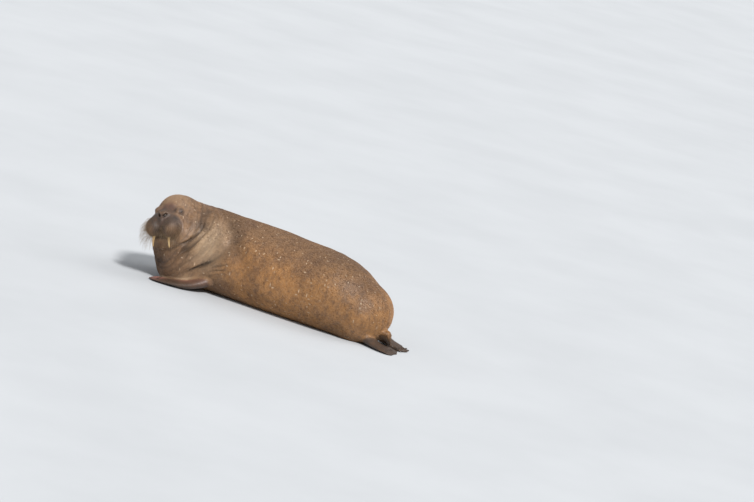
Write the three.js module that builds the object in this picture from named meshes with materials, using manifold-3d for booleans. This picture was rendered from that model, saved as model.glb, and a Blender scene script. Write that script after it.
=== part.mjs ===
// A female walrus lying on her belly with her head raised and turned to her left, at life size.
// Millimetres. -X is the way the body points, -Y is the animal's left side, +Z is up, and the floor is z = 0.
import * as THREE from "three";
import { mergeVertices } from "three/addons/utils/BufferGeometryUtils.js";
import Module from "manifold-3d";

const wasm = await Module();
wasm.setup();

// Driving sizes of the body. A station is a centre and a radius of the flesh round it.
const BODY_WIDENING = 1.1;
const TRUNK = [
  { name: "rump", at: [893, 0, 214], radius: 270 },
  { name: "loin", at: [630, 0, 286], radius: 323 },
  { name: "ribs", at: [217, 0, 300], radius: 341 },
  { name: "back", at: [-151, 0, 307], radius: 348 },
  { name: "withers", at: [-515, -8, 303], radius: 342 },
  { name: "breast", at: [-650, -50, 295], radius: 318 },
];
const NECK = [
  { name: "neck_root", at: [-560, -20, 318], radius: 325 },
  { name: "neck", at: [-745, -45, 380], radius: 282 },
  { name: "nape", at: [-845, -125, 488], radius: 201 },
];
const THROAT = [
  { name: "bosom", at: [-692, -138, 190], radius: 256 },
  { name: "gullet", at: [-768, -183, 300], radius: 218 },
];
const FLESH_BLEND = 70;
const NECK_BLEND = 60;
const SHOULDER = { at: [-560, 268, 225], size: [165, 105, 190] };
// The head's own frame: x forward, y to the animal's left, z up, from the point midway between the eyes.
const HEAD_AT = [-853, -334, 570];
const HEAD_TURN = 93;
const HEAD_PITCH = 1;
const HEAD_ROLL = 13.5;
const SKULL = { at: [-112, 0, -24], size: [150, 140, 152] };
const SNOUT = { at: [60, 0, -82], size: [110, 124, 98] };
const CHEEK = { at: [-10, 92, -130], size: [125, 70, 115] };
const BROW = { at: [10, 92, 0], size: [58, 36, 37] };
const NOSE = { at: [116, 0, -22], size: [46, 50, 36] };
const PAD = { at: [98, 73, -130], size: [112, 84, 88] };
const PAD_CUT = { at: [126, 78, -131], size: [94, 81, 87] };
const JAW = { at: [58, 0, -230], size: [104, 108, 78] };

const EYE_RADIUS = 18;
const EYE = { forward: 28, side: 106, up: 0 };
const LIDS = { forward: 40, side: 120, up: 0, size: [17, 17, 9.5] };
const MOUTH = { at: [120, 0, -211], size: [68, 98, 9] };
const GAP = 0.3;
const SLIVER = 0.08;

// Lines where the skin folds in: points on the line, how deep and wide the crease is, and its half run.
const CREASE_LINES = [
  { name: "neck_ring", through: [[-613, -181, 630], [-540, -337, 500], [-695, -410, 174]], depth: 24, width: 34, run: 300 },
  { name: "shoulder", through: [[-482, -68, 655], [-255, -279, 544], [-62, -374, 373]], depth: 17, width: 60, run: 350 },
  { name: "armpit", through: [[-560, -368, 108], [-326, -380, 308], [-239, -366, 406]], depth: 20, width: 34, run: 250 },
];

// A bristle is a bent, tapering spine with three sides.
const BRISTLES = 38;
const BRISTLE_ROOT = 2.3;
const BRISTLE_TIP = 0.35;
const BRISTLE_LENGTH = [55, 135];
const TUSK = { root: [128, 62, -150], middle: [156, 70, -225], tip: [152, 76, -290], radius: 12.5 };
const DIGITS = 5;
const CLAW = { length: 16, radius: 4.5 };
const FOREFLIPPER = [
  { at: [-380, 250, 130], wide: 70, thick: 60 },
  { at: [-430, 318, 88], wide: 88, thick: 52 },
  { at: [-520, 372, 42], wide: 98, thick: 37 },
  { at: [-640, 402, 27], wide: 108, thick: 25 },
  { at: [-750, 412, 19], wide: 104, thick: 17 },
  { at: [-820, 410, 11], wide: 70, thick: 10 },
];
const HINDFLIPPER = [
  { at: [975, 115, 105], wide: 80, thick: 70 },
  { at: [1080, 128, 60], wide: 62, thick: 46 },
  { at: [1155, 130, 34], wide: 66, thick: 30 },
  { at: [1228, 124, 21], wide: 84, thick: 19 },
  { at: [1298, 114, 14], wide: 93, thick: 12 },
  { at: [1334, 108, 9], wide: 66, thick: 8 },
];
// The hind flippers lie together, both swung a little to the animal's left behind this place.
const HIND_SWING = { past: 1080, share: 0.11 };
const TAIL = { at: [1160, 0, 120], size: [62, 46, 26] };
const BODY_CUTS = [
  { point: [-640, -50, 330], way: [-0.86, -0.36, 0.36] },
  { point: [-290, 0, 300], way: [-1, 0, 0] },
  { point: [520, 0, 300], way: [-1, 0, 0] },
];

const v3 = (a) => new THREE.Vector3(...a);
const mirrored = (a, side) => [a[0], a[1] * side, a[2]];

// Distances in millimetres, negative inside.
function ellipsoid(p, at, size) {
  const x = (p.x - at[0]) / size[0];
  const y = (p.y - at[1]) / size[1];
  const z = (p.z - at[2]) / size[2];
  const k0 = Math.hypot(x, y, z);
  const k1 = Math.hypot(x / size[0], y / size[1], z / size[2]);
  return k1 < 1e-9 ? -Math.min(...size) : (k0 * (k0 - 1)) / k1;
}

function roundCone(p, a, b, ra, rb) {
  const ba = [b[0] - a[0], b[1] - a[1], b[2] - a[2]];
  const pa = [p.x - a[0], p.y - a[1], p.z - a[2]];
  const length2 = ba[0] ** 2 + ba[1] ** 2 + ba[2] ** 2;
  const taper = ra - rb;
  const slant2 = length2 - taper * taper;
  const y = pa[0] * ba[0] + pa[1] * ba[1] + pa[2] * ba[2];
  const z = y - length2;
  const x2 =
    (pa[0] * length2 - ba[0] * y) ** 2 +
    (pa[1] * length2 - ba[1] * y) ** 2 +
    (pa[2] * length2 - ba[2] * y) ** 2;
  const y2 = y * y * length2;
  const z2 = z * z * length2;
  const k = Math.sign(taper) * taper * taper * x2;
  if (Math.sign(z) * slant2 * z2 > k) return Math.sqrt(x2 + z2) / length2 - rb;
  if (Math.sign(y) * slant2 * y2 < k) return Math.sqrt(x2 + y2) / length2 - ra;
  return (Math.sqrt((x2 * slant2) / length2) + y * taper) / length2 - ra;
}

function blend(a, b, width) {
  const h = Math.max(width - Math.abs(a - b), 0) / width;
  return Math.min(a, b) - (h * h * width) / 4;
}

// The same stations with smooth ones put between, so that the flesh has no waists.
function refined(stations, parts) {
  const path = new THREE.CatmullRomCurve3(stations.map((s) => v3(s.at)));
  const sizes = new THREE.SplineCurve(stations.map((s, i) => new THREE.Vector2(i, s.radius)));
  const steps = (stations.length - 1) * parts;
  return Array.from({ length: steps + 1 }, (_, i) => ({
    at: path.getPoint(i / steps).toArray(),
    radius: sizes.getPoint(i / steps).y,
  }));
}

function chain(p, stations) {
  let d = Infinity;
  for (let i = 0; i + 1 < stations.length; i++) {
    const [a, b] = [stations[i], stations[i + 1]];
    d = Math.min(d, roundCone(p, a.at, b.at, a.radius, b.radius));
  }
  return d;
}

const headFrame = new THREE.Matrix4()
  .makeTranslation(...HEAD_AT)
  .multiply(new THREE.Matrix4().makeRotationZ(THREE.MathUtils.degToRad(180 + HEAD_TURN)))
  .multiply(new THREE.Matrix4().makeRotationY(THREE.MathUtils.degToRad(-HEAD_PITCH)))
  .multiply(new THREE.Matrix4().makeRotationX(THREE.MathUtils.degToRad(HEAD_ROLL)));
const intoHead = headFrame.clone().invert();

const CREASES = CREASE_LINES.map((line) => {
  const [a, b, c] = line.through.map(v3);
  const normal = b.clone().sub(a).cross(c.clone().sub(a)).normalize();
  return { ...line, centre: b, normal };
});
const trunkLine = refined(TRUNK, 4);
const neckLine = refined(NECK, 3);
const throatLine = refined(THROAT, 2);

function headFlesh(p) {
  const q = p.clone().applyMatrix4(intoHead);
  const half = q.clone();
  half.y = Math.abs(q.y);
  let d = blend(ellipsoid(q, SKULL.at, SKULL.size), ellipsoid(q, SNOUT.at, SNOUT.size), 50);
  d = blend(d, ellipsoid(half, CHEEK.at, CHEEK.size), 40);
  d = blend(d, ellipsoid(q, JAW.at, JAW.size), 30);
  d = blend(d, ellipsoid(half, BROW.at, BROW.size), 20);
  d = blend(d, ellipsoid(half, PAD.at, PAD.size), 26);
  d = blend(d, ellipsoid(q, NOSE.at, NOSE.size), 20);
  return d;
}

function trunkFlesh(p) {
  const q = p.clone();
  q.y /= BODY_WIDENING;
  let d = blend(chain(q, trunkLine), chain(q, neckLine), FLESH_BLEND);
  d = blend(d, chain(q, throatLine), FLESH_BLEND);
  const half = p.clone();
  half.y = Math.abs(p.y);
  d = blend(d, ellipsoid(half, SHOULDER.at, SHOULDER.size), 50);
  return d;
}

function dent(p) {
  let depth = 0;
  for (const c of CREASES) {
    const away = p.clone().sub(c.centre);
    const across = away.dot(c.normal) / c.width;
    if (Math.abs(across) > 4) continue;
    const run = away.length() / c.run;
    const fade = Math.exp(-(run ** 4));
    depth += c.depth * fade * (Math.exp(-across * across) - 0.3 * Math.exp(-((Math.abs(across) - 2) ** 2)));
  }
  return depth;
}

function flesh(p) {
  return blend(trunkFlesh(p), headFlesh(p), NECK_BLEND) + dent(p);
}

// The point where a ray from inside leaves the field at a level, no farther than reach.
function leave(field, from, direction, level, reach) {
  const p = new THREE.Vector3();
  const at = (t) => field(p.copy(direction).multiplyScalar(t).add(from)) - level;
  let near = 0;
  let far = 0;
  const step = 12;
  while (far < reach && at(far) < 0) {
    near = far;
    far += step;
  }
  if (far >= reach) return from.clone().addScaledVector(direction, reach);
  for (let i = 0; i < 14; i++) {
    const middle = (near + far) / 2;
    if (at(middle) < 0) near = middle;
    else far = middle;
  }
  return from.clone().addScaledVector(direction, far);
}

function solidFrom(geometry, weld = 1e-2) {
  const g = geometry.clone();
  for (const name of ["normal", "uv"]) g.deleteAttribute(name);
  const merged = mergeVertices(g, weld);
  const kept = [];
  const index = merged.index.array;
  for (let i = 0; i < index.length; i += 3) {
    const [a, b, c] = [index[i], index[i + 1], index[i + 2]];
    if (a !== b && b !== c && a !== c) kept.push(a, b, c);
  }
  const make = (triVerts) =>
    new wasm.Manifold(
      new wasm.Mesh({
        numProp: 3,
        vertProperties: new Float32Array(merged.attributes.position.array),
        triVerts: new Uint32Array(triVerts),
      }),
    );
  const solid = make(kept);
  if (solid.volume() > 0) return solid;
  for (let i = 0; i < kept.length; i += 3) [kept[i + 1], kept[i + 2]] = [kept[i + 2], kept[i + 1]];
  return make(kept);
}

function geometryOf(solid) {
  const m = solid.getMesh();
  const positions = new Float32Array(m.numVert * 3);
  for (let i = 0; i < m.numVert; i++)
    positions.set(m.vertProperties.subarray(i * m.numProp, i * m.numProp + 3), i * 3);
  const g = new THREE.BufferGeometry();
  g.setAttribute("position", new THREE.BufferAttribute(positions, 3));
  g.setIndex(new THREE.BufferAttribute(new Uint32Array(m.triVerts), 1));
  return g;
}

// A sphere's grid, with each vertex placed by place(turn, share): turn goes round, share from pole to pole.
function wrapped(around, rows, place) {
  const g = new THREE.SphereGeometry(1, around, rows);
  const { position, uv } = g.attributes;
  for (let i = 0; i < position.count; i++) {
    const share = 1 - uv.getY(i);
    const turn = share < 1e-6 || share > 1 - 1e-6 ? 0 : (uv.getX(i) % 1) * 2 * Math.PI;
    const p = place(turn, share);
    position.setXYZ(i, p.x, p.y, p.z);
  }
  return solidFrom(g);
}

function balloon(field, centre, detail, level = 0, reach = 420) {
  const g = new THREE.IcosahedronGeometry(1, detail);
  const { position } = g.attributes;
  const direction = new THREE.Vector3();
  for (let i = 0; i < position.count; i++) {
    direction.fromBufferAttribute(position, i).normalize();
    const p = leave(field, centre, direction, level, reach);
    position.setXYZ(i, p.x, p.y, Math.max(p.z, 0));
  }
  return solidFrom(g);
}

const SPINE = new THREE.CatmullRomCurve3(
  [
    [830, 0, 285],
    [520, 0, 300],
    [60, 0, 312],
    [-420, -5, 320],
    [-640, -25, 365],
    [-765, -70, 410],
    [-830, -190, 460],
  ].map(v3),
);
// The planes of the trunk's grid turn evenly from straight ahead to this way, so that none crosses another inside.
const GRID_WAY = { from: 0.42, end: new THREE.Vector3(-0.72, -0.5, 0.48) };
const REAR_CAP = 0.14;
const FRONT_CAP = 0.93;
const ROW_DENSITY = 1.45;

function trunkSolid(level = 0) {
  const up = new THREE.Vector3(0, 0, 1);
  return wrapped(40, 50, (turn, share) => {
    const row = THREE.MathUtils.clamp((share - REAR_CAP) / (FRONT_CAP - REAR_CAP), 0, 1);
    const along = 1 - (1 - row) ** ROW_DENSITY;
    const from = SPINE.getPointAt(along);
    const bent = Math.max(0, (along - GRID_WAY.from) / (1 - GRID_WAY.from));
    const tangent = new THREE.Vector3(-1, 0, 0).lerp(GRID_WAY.end, bent).normalize();
    const side = tangent.clone().cross(up).normalize();
    const rise = side.clone().cross(tangent).normalize();
    let lean = 0;
    if (share < REAR_CAP) lean = -(1 - share / REAR_CAP) * (Math.PI / 2);
    if (share > FRONT_CAP) lean = ((share - FRONT_CAP) / (1 - FRONT_CAP)) * (Math.PI / 2);
    const direction = side
      .multiplyScalar(Math.cos(turn) * Math.cos(lean))
      .addScaledVector(rise, Math.sin(turn) * Math.cos(lean))
      .addScaledVector(tangent, Math.sin(lean));
    const p = leave(flesh, from, direction.normalize(), level, 700);
    p.z = Math.max(p.z, 0);
    return p;
  });
}

// Corners nearer than a hair are joined, which takes away the slivers that a cut leaves.
const walrus = new THREE.Group();
function addNode(name, solid, colour, roughness = 0.7) {
  const material = new THREE.MeshStandardMaterial({ color: colour, roughness, metalness: 0 });
  const mesh = new THREE.Mesh(geometryOf(solidFrom(geometryOf(solid), SLIVER)), material);
  mesh.name = name;
  walrus.add(mesh);
}

function largest(solid) {
  return solid.decompose().reduce((best, one) => (one.volume() > best.volume() ? one : best));
}

// A slab-sided block that fills everything on the far side of a plane.
function beyond(point, normal, offset = 0) {
  const size = 6000;
  const n = normal.clone().normalize();
  const box = new THREE.BoxGeometry(size, size, size);
  box.applyQuaternion(new THREE.Quaternion().setFromUnitVectors(new THREE.Vector3(0, 0, 1), n));
  const c = point.clone().addScaledVector(n, size / 2 + offset);
  box.translate(c.x, c.y, c.z);
  return solidFrom(box);
}

// Both sides of a thin plane cut, [near, far].
function parted(solid, point, normal) {
  const near = largest(solid.subtract(beyond(point, normal, -GAP / 2)));
  const far = largest(solid.intersect(beyond(point, normal, GAP / 2)));
  return [near, far];
}

function union(...solids) {
  return solids.reduce((all, one) => all.add(one));
}

function ballAt(at, size, around = 20, rows = 14) {
  const g = new THREE.SphereGeometry(1, around, rows);
  g.scale(...size);
  g.translate(...at);
  return g;
}

const inHead = (geometry) => solidFrom(geometry.applyMatrix4(headFrame));

// A round-nosed rod between two points of the head's frame.
function rodInHead(from, to, radius, around = 10) {
  const way = v3(to).sub(v3(from));
  const g = new THREE.CapsuleGeometry(radius, way.length(), 4, around);
  g.applyQuaternion(new THREE.Quaternion().setFromUnitVectors(new THREE.Vector3(0, 1, 0), way.clone().normalize()));
  const middle = v3(from).addScaledVector(way, 0.5);
  g.translate(middle.x, middle.y, middle.z);
  return inHead(g);
}

// A tapering tube along a curve, closed to a point at its far end.
function taper(curve, around, rows, radiusAt) {
  const frames = curve.computeFrenetFrames(rows, false);
  return wrapped(around, rows + 1, (turn, share) => {
    const row = share * (rows + 1);
    const i = Math.min(Math.max(Math.round(row) - 1, 0), rows);
    const t = share < 1e-6 ? 0 : i / rows;
    const centre = curve.getPoint(t);
    if (share < 1e-6) return centre.addScaledVector(frames.tangents[0], -radiusAt(0) * 0.4);
    if (share > 1 - 1e-6) return curve.getPoint(1).addScaledVector(frames.tangents[rows], radiusAt(1) * 0.8);
    return centre
      .addScaledVector(frames.normals[i], Math.cos(turn) * radiusAt(t))
      .addScaledVector(frames.binormals[i], Math.sin(turn) * radiusAt(t));
  });
}

function curveInHead(points) {
  return new THREE.CatmullRomCurve3(points.map((p) => v3(p).applyMatrix4(headFrame)));
}

function tusk(side, grow = 0) {
  const points = [TUSK.root, TUSK.middle, TUSK.tip].map((p) => mirrored(p, side));
  return taper(curveInHead(points), 12, 7, (t) => TUSK.radius * (1 - 0.62 * t ** 1.8) + grow);
}

// Seeded numbers between 0 and 1.
function seeded(seed) {
  let state = seed;
  return () => {
    state = (state * 1664525 + 1013904223) % 4294967296;
    return state / 4294967296;
  };
}

function bristle(side, root, outward, length, droop) {
  const base = v3(root).addScaledVector(outward, -9);
  const bend = v3(root).addScaledVector(outward, length * 0.5);
  bend.z -= droop * 0.25;
  const tip = v3(root).addScaledVector(outward, length * 0.85);
  tip.z -= droop;
  const points = [base, bend, tip].map((p) => mirrored(p.toArray(), side));
  return taper(curveInHead(points), 3, 2, (t) => BRISTLE_ROOT + (BRISTLE_TIP - BRISTLE_ROOT) * t);
}

// Bristles in rows over the front and side of one pad, the longest low and to the outside.
function bristles(side, seed) {
  const next = seeded(seed);
  const spines = [];
  const centre = v3(PAD.at);
  for (let i = 0; i < BRISTLES; i++) {
    const share = (i + 0.5) / BRISTLES;
    const spin = i * 2.39996;
    const open = 1.28 * Math.sqrt(share);
    const across = Math.cos(spin) * Math.sin(open);
    const rise = Math.sin(spin) * Math.sin(open);
    const outward = new THREE.Vector3(Math.cos(open) + 0.15, across + 0.18, rise - 0.12).normalize();
    const root = new THREE.Vector3();
    const inner = centre.clone();
    const q = new THREE.Vector3();
    let far = 0;
    for (let t = 0; t < 150; t += 1) {
      q.copy(inner).addScaledVector(outward, t);
      if (ellipsoid(q, PAD.at, PAD.size) > 0) {
        far = t;
        break;
      }
    }
    root.copy(inner).addScaledVector(outward, far);
    const low = THREE.MathUtils.clamp(0.5 - rise * 0.45 + across * 0.25, 0, 1);
    const length = BRISTLE_LENGTH[0] + (BRISTLE_LENGTH[1] - BRISTLE_LENGTH[0]) * low * (0.75 + 0.25 * next());
    spines.push(bristle(side, root.toArray(), outward, length, length * (0.3 + 0.25 * next())));
  }
  return spines;
}

// A paddle laid along its stations, with a ridge for each digit and a scalloped edge.
function paddle(stations, side, spread, grow = 0) {
  const line = new THREE.CatmullRomCurve3(stations.map((s) => v3(mirrored(s.at, side))));
  const sizes = new THREE.CatmullRomCurve3(stations.map((s, i) => new THREE.Vector3(i, s.wide, s.thick)));
  return wrapped(20, 13, (turn, share) => {
    const t = THREE.MathUtils.clamp((share - 0.04) / 0.9, 0, 1);
    const centre = line.getPoint(t);
    const tangent = line.getTangent(t);
    const across = new THREE.Vector3(-tangent.y, tangent.x, 0).normalize();
    const size = sizes.getPoint(t);
    const close = Math.sqrt(Math.max(1 - Math.max(0.06 - share, 0) * 16, 0)) * Math.sqrt(Math.min(1, (1 - share) * 16));
    const u = Math.cos(turn);
    const digit = 0.5 - 0.5 * Math.cos((u * 0.5 + 0.5) * DIGITS * 2 * Math.PI);
    const far = THREE.MathUtils.smoothstep(t, 0.45, 0.9);
    const thick = size.z * (1 - far * 0.32 * (1 - digit));
    const p = centre.clone().addScaledVector(across, u * (size.y * close + grow));
    p.addScaledVector(tangent, far * spread * (digit * 0.35 + u * u * 0.25) * close);
    p.z += Math.sin(turn) * (thick * close + grow);
    p.z = Math.max(p.z, grow > 0 ? -1 : 0);
    return p;
  });
}

function claws(stations, side) {
  const last = stations[stations.length - 2];
  const before = stations[stations.length - 3];
  const way = v3(mirrored(last.at, side)).sub(v3(mirrored(before.at, side))).setZ(0).normalize();
  const across = new THREE.Vector3(-way.y, way.x, 0);
  return Array.from({ length: DIGITS }, (_, i) => {
    const u = (i + 0.5) / DIGITS * 2 - 1;
    const g = new THREE.ConeGeometry(CLAW.radius, CLAW.length, 5);
    g.applyQuaternion(new THREE.Quaternion().setFromUnitVectors(new THREE.Vector3(0, 1, 0), way));
    const at = v3(mirrored(last.at, side)).addScaledVector(across, u * last.wide * 0.82);
    g.translate(at.x, at.y, last.at[2] + last.thick * Math.sqrt(1 - (u * 0.82) ** 2) - 0.5);
    return solidFrom(g);
  });
}

// The head: one ball of flesh, from which the pads, the jaw, the eyes and the tusks are parted.
const headCentre = v3([-10, 0, -90]).applyMatrix4(headFrame);
const napeCut = v3([-115, 60, -100]).applyMatrix4(headFrame);
const napeWay = v3([0.6, -0.66, 0.45]).transformDirection(headFrame);
const wholeHead = parted(balloon(flesh, headCentre, 12, 0, 420), napeCut, napeWay)[1].subtract(
  inHead(ballAt(MOUTH.at, MOUTH.size, 18, 8)),
);
const padShape = (side, grow) =>
  inHead(ballAt(mirrored(PAD_CUT.at, side), PAD_CUT.size.map((half) => half + grow), 18, 12));
const midline = v3([0, 0, 0]).applyMatrix4(headFrame);
const leftWay = v3([0, 1, 0]).transformDirection(headFrame);
const mouthShape = (grow) => inHead(ballAt([78, 0, -262], [120 + grow, 118 + grow, 74 + grow], 18, 12));
const eyeShape = (side, grow) =>
  inHead(ballAt([EYE.forward, EYE.side * side, EYE.up], Array(3).fill(EYE_RADIUS + grow), 12, 9));
const openEye = (side) => inHead(ballAt([LIDS.forward, LIDS.side * side, LIDS.up], LIDS.size, 12, 8));
const tusks = { left: tusk(1), right: tusk(-1) };
const tuskRoom = union(tusk(1, GAP + 0.2), tusk(-1, GAP + 0.2));
const padRoom = union(padShape(1, GAP), padShape(-1, GAP));
const jaw = largest(wholeHead.intersect(mouthShape(0)).subtract(padRoom).subtract(tuskRoom));
let head = wholeHead.subtract(union(padRoom, mouthShape(GAP), tuskRoom));
for (const side of [1, -1]) {
  head = head.subtract(union(eyeShape(side, GAP), openEye(side)));
  head = head.subtract(rodInHead([160, 18 * side, -32], [146, 33 * side, -14], 7));
  head = head.subtract(rodInHead([-62, 138 * side, 4], [-68, 138 * side, -18], 6));
}
head = largest(head);
const flatPad = (side) =>
  largest(
    wholeHead
      .intersect(padShape(side, 0))
      .intersect(beyond(midline, leftWay.clone().multiplyScalar(side), GAP / 2))
      .subtract(tuskRoom),
  );
const around = union(head, jaw, tuskRoom);
const padWith = (side, seed, neighbour) => {
  const others = union(around, neighbour);
  return largest(union(flatPad(side), ...bristles(side, seed).filter((one) => one.intersect(others).isEmpty())));
};
const leftPad = padWith(1, 11, flatPad(-1));
const rightPad = padWith(-1, 29, leftPad);

// The trunk is parted across by thin cuts.
let rest = parted(trunkSolid(), napeCut, napeWay)[0];
const sections = [];
for (const { point, way } of BODY_CUTS) {
  const [near, far] = parted(rest, v3(point), v3(way));
  sections.push(far);
  rest = near;
}
sections.push(rest);
const fullTrunk = trunkSolid(GAP);

addNode("head", head, 0x5d4838);
addNode("lower_jaw", jaw, 0x4a3a30);
addNode("whisker_pad_left", leftPad, 0x43362d);
addNode("whisker_pad_right", rightPad, 0x43362d);
addNode("tusk_left", tusks.left, 0xd9b878, 0.4);
addNode("tusk_right", tusks.right, 0xd9b878, 0.4);
addNode("eye_left", eyeShape(1, 0), 0x1a1210, 0.15);
addNode("eye_right", eyeShape(-1, 0), 0x1a1210, 0.15);
["neck", "shoulders", "torso", "rump"].forEach((name, i) => addNode(name, sections[i], 0x9a6d45));
for (const [name, side] of [["left", -1], ["right", 1]]) {
  const fore = union(paddle(FOREFLIPPER, side, 26), ...claws(FOREFLIPPER, side));
  addNode(`foreflipper_${name}`, largest(fore.subtract(fullTrunk)), 0x6b5140);
  const swung = HINDFLIPPER.map(({ at, ...size }) => {
    const aside = HIND_SWING.share * side * Math.max(at[0] - HIND_SWING.past, 0);
    return { at: [at[0], at[1] - aside, at[2]], ...size };
  });
  const hind = union(paddle(swung, side, 40), ...claws(swung, side));
  addNode(`hindflipper_${name}`, largest(hind.subtract(fullTrunk)), 0x5f4a3a);
}
addNode("tail", largest(solidFrom(ballAt(TAIL.at, TAIL.size, 16, 12)).subtract(fullTrunk)), 0x6b5140);

// The origin is the middle of the floor patch under the whole animal.
walrus.updateMatrixWorld(true);
const bounds = new THREE.Box3().setFromObject(walrus);
const middle = bounds.getCenter(new THREE.Vector3());
for (const mesh of walrus.children) mesh.geometry.translate(-middle.x, -middle.y, -bounds.min.z);

export default walrus;
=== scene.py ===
"""A young female walrus lying on her belly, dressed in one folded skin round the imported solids."""

import logging
import math
from collections.abc import Callable, Iterable, Sequence
from dataclasses import dataclass, field
from enum import Enum

import bmesh
import bpy
import numpy as np
from mathutils import Matrix, Vector, noise
from mathutils.bvhtree import BVHTree


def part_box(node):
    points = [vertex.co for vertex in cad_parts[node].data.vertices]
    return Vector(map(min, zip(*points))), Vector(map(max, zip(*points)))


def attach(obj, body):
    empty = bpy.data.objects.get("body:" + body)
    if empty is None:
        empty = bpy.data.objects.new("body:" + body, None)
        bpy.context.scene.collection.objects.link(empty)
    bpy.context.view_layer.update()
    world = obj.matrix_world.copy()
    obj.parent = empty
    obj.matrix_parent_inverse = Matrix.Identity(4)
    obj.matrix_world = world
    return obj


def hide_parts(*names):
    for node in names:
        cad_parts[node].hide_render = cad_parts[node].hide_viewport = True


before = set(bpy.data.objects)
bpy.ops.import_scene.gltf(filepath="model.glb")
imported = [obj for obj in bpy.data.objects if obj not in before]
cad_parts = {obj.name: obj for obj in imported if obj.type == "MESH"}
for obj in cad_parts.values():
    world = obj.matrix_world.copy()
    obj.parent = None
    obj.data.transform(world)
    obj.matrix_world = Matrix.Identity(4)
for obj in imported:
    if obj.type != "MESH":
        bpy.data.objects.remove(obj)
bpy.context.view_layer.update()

log = logging.getLogger("walrus")
Points = np.ndarray
Point = tuple[float, float, float]

# Sizes are in millimetres in the frame the solids are drawn in, where -X is the way the body points,
# -Y is the animal's left and the floor is z = 0. They become metres when a mesh is written.
MM = 0.001
PHOTO_SIZE = (754, 502)

BODY_WIDENING = 1.1
TRUNK = (
    ((893, 0, 214), 270),
    ((630, 0, 286), 323),
    ((217, 0, 300), 341),
    ((-151, 0, 307), 348),
    ((-515, -8, 303), 342),
    ((-650, -50, 295), 318),
)
NECK = (((-560, -20, 318), 325), ((-745, -45, 380), 282), ((-845, -125, 488), 201))
THROAT = (((-692, -138, 190), 256), ((-768, -183, 300), 218))
FLESH_BLEND = 70
NECK_BLEND = 60
SHOULDER = ((-560, 268, 225), (165, 105, 190))
SHOULDER_BLEND = 50
TAIL = ((1160, 0, 120), (62, 46, 26))
TAIL_BLEND = 25

# The head's own frame has x forward, y to the animal's left and z up, from midway between the eyes.
HEAD_AT = (-853, -334, 570)
HEAD_TURN = 93
HEAD_PITCH = 1
HEAD_ROLL = 13.5
SKULL = ((-112, 0, -24), (150, 140, 152))
SNOUT = ((60, 0, -82), (110, 124, 98))
CHEEK = ((-10, 92, -130), (125, 70, 115))
BROW = ((10, 92, 0), (58, 36, 37))
NOSE = ((116, 0, -22), (46, 50, 36))
PAD = ((98, 73, -130), (112, 84, 88))
JAW = ((58, 0, -230), (104, 108, 78))
EYE_RADIUS = 18
EYE = (28, 106, 0)
LID_OPENING = (15.5, 9.4)
LID_THICKNESS = 2.2
NOSTRIL = ((160, 18, -32), (146, 33, -14))
EAR = (-64, 138, -6)
MOUTH_HEIGHT = -211
TUSK = ((128, 62, -150), (156, 70, -225), (152, 76, -290))
TUSK_RADIUS = 12.5

DIGITS = 5
FOREFLIPPER = (
    ((-380, 250, 130), 70, 60),
    ((-430, 318, 88), 88, 52),
    ((-520, 372, 42), 98, 37),
    ((-640, 402, 27), 108, 25),
    ((-750, 412, 19), 104, 17),
    ((-820, 410, 11), 70, 10),
)
HINDFLIPPER = (
    ((975, 115, 105), 80, 70),
    ((1080, 128, 60), 62, 46),
    ((1155, 130, 34), 66, 30),
    ((1228, 124, 21), 84, 19),
    ((1298, 114, 14), 93, 12),
    ((1334, 108, 9), 66, 8),
)
HIND_SWING_PAST = 1080
HIND_SWING = 0.11
FORE_SPREAD = 26
HIND_SPREAD = 40
WHISKERS = 230
GOLDEN_TURN = 2.39996
PATCH = 0.003


class Side(Enum):
    """Which side of the animal a paired piece is on; the value is the sign of y in the head's frame."""

    LEFT = 1
    RIGHT = -1

    @property
    def word(self) -> str:
        """The side as a piece's name ends."""
        return self.name.lower()


@dataclass(frozen=True)
class Valley:
    """A broad fold where a plane through three points cuts the skin."""

    through: tuple[Point, Point, Point]
    depth: float
    width: float
    run: float


@dataclass(frozen=True)
class Crease:
    """A narrow fold along a line of points on the skin."""

    line: tuple[Point, ...]
    depth: float
    width: float


VALLEYS = (
    Valley(((-613, -181, 630), (-540, -337, 500), (-695, -410, 174)), 24, 34, 300),
    Valley(((-482, -68, 655), (-255, -279, 544), (-62, -374, 373)), 17, 60, 350),
    Valley(((-560, -368, 108), (-326, -380, 308), (-239, -366, 406)), 20, 34, 250),
)
CREASES = (
    Crease(
        ((-587, -202, 600), (-543, -322, 490), (-596, -377, 393))
        + ((-641, -427, 351), (-712, -455, 288), (-787, -447, 254)), 15, 10),
    Crease(
        ((-470, -295, 549), (-507, -362, 439), (-554, -385, 361))
        + ((-609, -400, 301), (-669, -418, 205), (-717, -414, 140)), 11, 10),
    Crease(((-322, -362, 314), (-434, -361, 230), (-505, -380, 174), (-557, -386, 115)), 17, 11),
    Crease(((-163, -390, 314), (-291, -377, 267), (-379, -363, 211)), 9, 10),
    Crease(((-169, -384, 269), (-322, -370, 218), (-396, -359, 177)), 8, 9),
    Crease(((-574, -104, 657), (-500, -180, 630), (-443, -245, 589)), 6, 15),
    Crease(((-660, -215, 610), (-632, -290, 562), (-606, -340, 500), (-640, -400, 430)), 7, 10),
    Crease(((-739, -416, 566), (-684, -410, 517), (-664, -433, 445), (-682, -446, 362)), 7, 9),
    Crease(((-322, 372, 300), (-434, 380, 225), (-520, 395, 160)), 14, 11),
    Crease(((-180, 385, 300), (-300, 385, 250), (-395, 380, 205)), 9, 10),
)
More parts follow.
